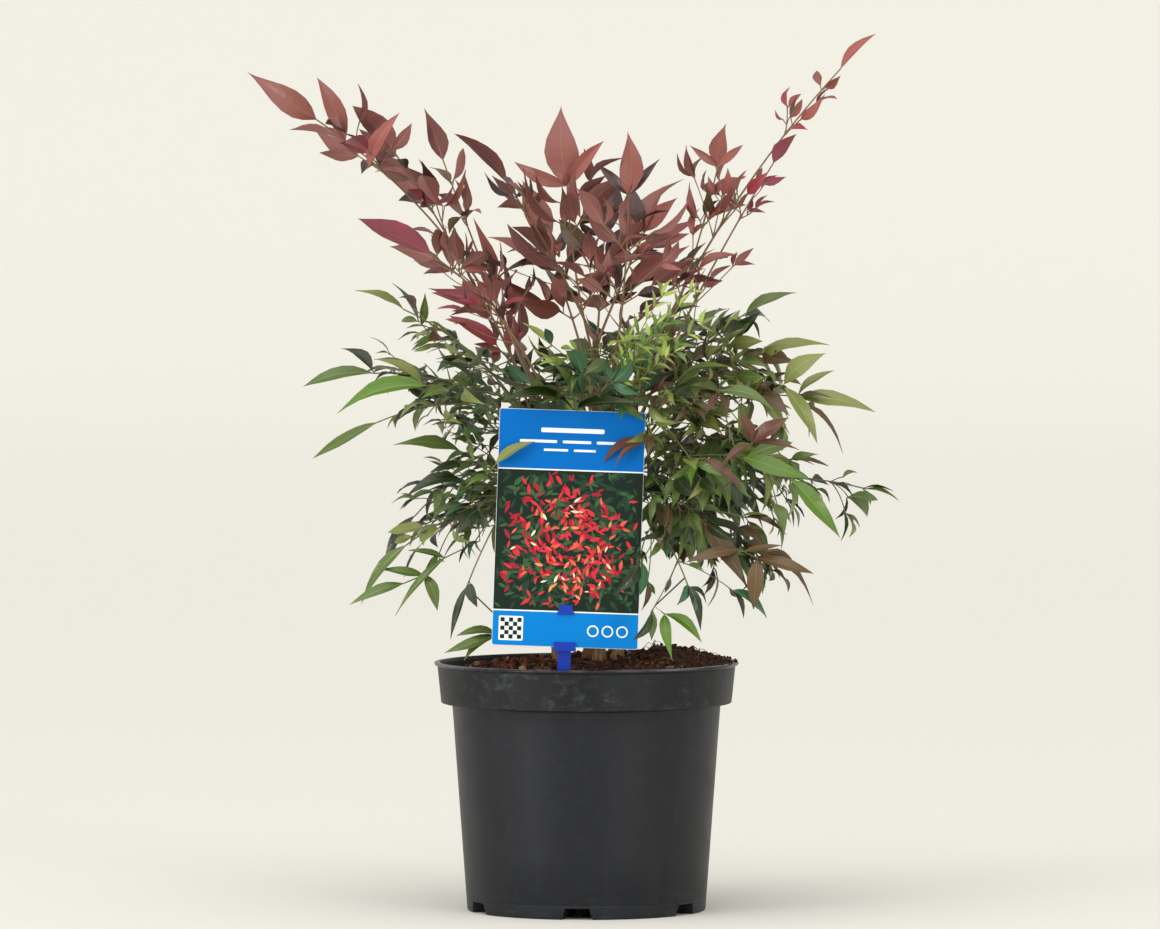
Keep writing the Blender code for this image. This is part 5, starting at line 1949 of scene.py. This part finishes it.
SPRIG_FOOT_RADIUS = 0.55 * MM
SPRIG_RADIUS = 0.42 * MM
# The young twigs: their foot and tips in mm, how far they bow, and where along them leaflets begin.
YOUNG_FOOT = (8, -38, 308)
YOUNG_TIPS = (
    (64, -66, 386), (57, -72, 378), (46, -68, 384), (43, -80, 366), (35, -84, 354), (70, -70, 366),
    (26, -76, 358), (54, -84, 350),
)
YOUNG_TINTS = ("lime", "olive", "mid", "lime", "bright")
YOUNG_BOW = (0.05, 0.14)
YOUNG_STEPS = 9
YOUNG_BARE_STEPS = 3
YOUNG_RADIUS_MM = 0.5
YOUNG_TAPER_MM = 0.035
YOUNG_ANGLE_DEG = (30, 64)
YOUNG_LEAF_MM = (8, 14)
YOUNG_SLIM = (0.18, 0.28)
# The twig of buds, in mm: a bud lies between each two points, as thick along it as BUD_SHAPE says.
BUD_TWIG = (
    (60, -22, 405), (66, -22, 406.5), (72, -21, 406), (78, -22, 407.5), (85, -22, 407),
    (88, -22, 408.5),
)
BUD_RADIUS = 1.15 * MM
BUD_TWIG_RADIUS = 0.32 * MM
BUD_SHAPE = ((0, 0.25), (0.3, 0.35), (0.5, 0.9), (0.7, 1.0), (0.88, 0.6), (1, 0.25))


def nearest_on_stalks(branches, tier, point):
    """The point on the stalks of a tier that lies nearest."""
    spots = []
    for branch in branches:
        if branch.spray.tier == tier:
            end = bend_end(branch.spray, branch.bend)
            spots += [bend_point(branch.bend, end * k / 24) for k in range(25)]
    return min(spots, key=lambda spot: (spot - point).length)


def add_sprigs(branches, tier, leaves, twigs):
    palette = tints_of(tier.name)
    for number, sprig in enumerate(SPRIGS):
        if sprig.tier != tier:
            continue
        centres = [Vector(p) * MM for p in sprig.twig]
        centres = [nearest_on_stalks(branches, tier, centres[0]), *centres]
        radii = [SPRIG_FOOT_RADIUS] + [SPRIG_RADIUS] * (len(centres) - 1)
        twigs.add(*tube(centres, radii, 6))
        for place, (root, tip, width) in enumerate(sprig.leaflets):
            draw = random.Random(f"sprig {number} {place}")
            root, tip = Vector(root) * MM, Vector(tip) * MM
            over = Vector((draw.uniform(-0.2, 0.2), -0.72, 0.7))
            tint = palette.index(sprig.tint)
            way = tip - root
            leaves.add(root, way.normalized(), over, way.length, width * MM, tint, tier, draw)


def add_young_twigs(branches, leaves, twigs):
    """Fine young twigs with slender leaflets, at the right of the crown's heart."""
    palette = tints_of(SHOULDER.name)
    start = nearest_on_stalks(branches, SHOULDER, Vector(YOUNG_FOOT) * MM)
    over = Vector((0, -0.8, 0.6))
    for number, tip in enumerate(YOUNG_TIPS):
        draw = random.Random(f"young {number}")
        end = Vector(tip) * MM
        bow = (end - start).length * draw.uniform(*YOUNG_BOW)
        line = curved(start, end, over, bow, YOUNG_STEPS)
        radii = [(YOUNG_RADIUS_MM - YOUNG_TAPER_MM * k) * MM for k in range(YOUNG_STEPS)]
        twigs.add(*tube(line, radii, 5))
        for k in range(YOUNG_BARE_STEPS, YOUNG_STEPS):
            along = (line[k] - line[k - 1]).normalized()
            across = along.cross(over).normalized()
            for hand in (-1, 0, 1) if k == YOUNG_STEPS - 1 else (-1, 1):
                turn = math.radians(draw.uniform(*YOUNG_ANGLE_DEG)) * hand
                heading = along * math.cos(turn) + across * math.sin(turn)
                heading = (heading + over * draw.uniform(-0.2, 0.3)).normalized()
                length = draw.uniform(*YOUNG_LEAF_MM) * MM
                tint = palette.index(draw.choice(YOUNG_TINTS))
                width = length * draw.uniform(*YOUNG_SLIM)
                leaves.add(line[k], heading, over, length, width, tint, SHOULDER, draw)


def add_bud_twig(branches, twigs):
    """A thin twig of closed buds at the right of the plume."""
    knots = [Vector(p) * MM for p in BUD_TWIG]
    start = nearest_on_stalks(branches, PLUME, knots[0])
    twigs.add(*tube([start, start.lerp(knots[0], 0.5), knots[0]], [BUD_TWIG_RADIUS] * 3, 5))
    radii = [size * BUD_RADIUS for _, size in BUD_SHAPE]
    for low, high in zip(knots, knots[1:]):
        twigs.add(*tube([low.lerp(high, share) for share, _ in BUD_SHAPE], radii, 6))


def tints_of(tier_name):
    """The names of all tints in a tier, in the order of its piece's finishes."""
    names = set(SPRAY_TINTS[tier_name])
    siblings = {sibling for name in names for sibling in SIBLINGS[name]}
    ends = {tint for name, tint in END_TINTS.items() if name.startswith(tier_name)}
    mixed = {tint for name, mix in MIXES.items() if name.startswith(tier_name) for tint in mix}
    own = {sprig.tint for sprig in SPRIGS if sprig.tier.name == tier_name}
    return sorted(names | siblings | ends | mixed | own | {ACCENT[tier_name]})


def stalk_finish(name, colour):
    """Smooth green wood with fine lines along it."""
    stalk = Finish(name, colour, 0.5)
    lines = stalk.noise(900, 3, 0.6, (1, 1, 0.2))
    stalk.set(stalk.shader, {"Normal": stalk.bump(lines, 0.08 * MM, 0.5)})
    return stalk.made


def build_crown():
    """The sprays of each tier, in a piece for its leaflets and one for its stalks."""
    branches = grow_finer(grow(spray_list(), fixed_space()))
    for tier in (PLUME, SHOULDER, SKIRT):
        leaves, twigs, nodes = Leaves(), Soup(), []
        for branch in branches:
            if branch.spray.tier == tier:
                number = int(branch.spray.name[-2:]) - 1
                dress_branch(branch, leaves, twigs, number)
                nodes.append(branch.spray.name)
        add_sprigs(branches, tier, leaves, twigs)
        if tier == PLUME:
            add_bud_twig(branches, twigs)
        if tier == SHOULDER:
            add_young_twigs(branches, leaves, twigs)
        kind = PIECE_OF_TIER[tier.name]
        show(leaves.piece(f"leaves_{kind}", tints_of(tier.name)), f"{kind}_leaf", *nodes)
        finish = stalk_finish(f"stalk_{kind}", STALK_COLOURS[tier.name])
        show(twigs.piece(f"stalks_{kind}", [finish]), f"{kind}_leaf", *nodes)


# Stage: a wide shallow bowl, so that every view has the floor running up into a plain backdrop.
BOWL_FLAT = 9.0
BOWL_BEND = 5.0
BOWL_SEGMENTS = 96
CAMERA_PLACE = Vector((-0.004, -5.0, 0.46))
CAMERA_AIM = Vector((-0.004, 0.0, 0.278))
LENS_MM = 249
SENSOR_MM = 36
CAMERA_REACH = 60
WORLD_COLOUR = (1.0, 0.985, 0.96, 1)
WORLD_STRENGTH = 0.62
SUN_FROM = Vector((-0.15, -0.6, 1.3))
SUN_STRENGTH = 1.65
SUN_WIDTH_DEG = 70
# The tall lights at both sides: place, width and height in metres, and watts.
SOFTBOX_AIM = Vector((0, 0, 0.16))
SOFTBOXES = {
    "left": (Vector((-1.85, -1.55, 0.45)), (0.75, 0.9), 20),
    "right": (Vector((1.45, -1.95, 0.45)), (0.5, 0.9), 13),
}


def build_stage():
    """The floor that bends up into the backdrop, and the light."""
    finish = Finish("stage_cream", "e2e0d8", 0.9, Specular_IOR_Level=0.0)
    profile = [(0.5, 0.0), (2.0, 0.0), (BOWL_FLAT, 0.0)]
    profile += fillet(BOWL_FLAT, BOWL_BEND, BOWL_BEND, -90, 0, 24)[1:]
    points = [(0.0, 0.0, 0.0)]
    for radius, height in profile:
        for i in range(BOWL_SEGMENTS):
            points.append(tuple(polar(360 * i / BOWL_SEGMENTS, radius, height)))
    faces = []
    for i in range(BOWL_SEGMENTS):
        j = (i + 1) % BOWL_SEGMENTS
        faces.append((0, 1 + i, 1 + j))
        for k in range(len(profile) - 1):
            low, high = 1 + k * BOWL_SEGMENTS, 1 + (k + 1) * BOWL_SEGMENTS
            faces.append((low + i, high + i, high + j, low + j))
    floor = mesh_piece("studio_floor", points, faces, [finish.made], sharp_deg=180)

    world = bpy.data.worlds.new("studio")
    bpy.context.scene.world = world
    world.use_nodes = True
    background = world.node_tree.nodes["Background"]
    background.inputs["Color"].default_value = WORLD_COLOUR
    background.inputs["Strength"].default_value = WORLD_STRENGTH
    add_sun()
    for name, (place, size, watts) in SOFTBOXES.items():
        add_softbox(name, place, size, watts)


def aimed(name, data, way):
    """A light or camera in the scene, turned to look the given way."""
    made = bpy.data.objects.new(name, data)
    made.rotation_euler = way.to_track_quat("-Z", "Y").to_euler()
    bpy.context.scene.collection.objects.link(made)
    return made


def add_sun():
    """A wide, soft light from far away, so that the whole stage is lit evenly."""
    light = bpy.data.lights.new("key", "SUN")
    light.energy = SUN_STRENGTH
    light.angle = math.radians(SUN_WIDTH_DEG)
    aimed("key", light, -SUN_FROM)


def add_softbox(name, place, size, watts):
    """A tall soft light at one side, which puts a broad highlight on the pot and the leaves."""
    light = bpy.data.lights.new(name, "AREA")
    light.shape = "RECTANGLE"
    light.size, light.size_y = size
    light.energy = watts
    aimed(name, light, SOFTBOX_AIM - place).location = place


def build_camera():
    camera = bpy.data.cameras.new("camera")
    camera.lens = LENS_MM
    camera.sensor_width = SENSOR_MM
    camera.clip_end = CAMERA_REACH
    holder = aimed("camera", camera, CAMERA_AIM - CAMERA_PLACE)
    holder.location = CAMERA_PLACE
    bpy.context.scene.camera = holder
    bpy.context.scene.view_settings.view_transform = "Standard"


build_camera()
build_stage()
build_pot()
build_soil()
build_label()
build_canes()
build_crown()
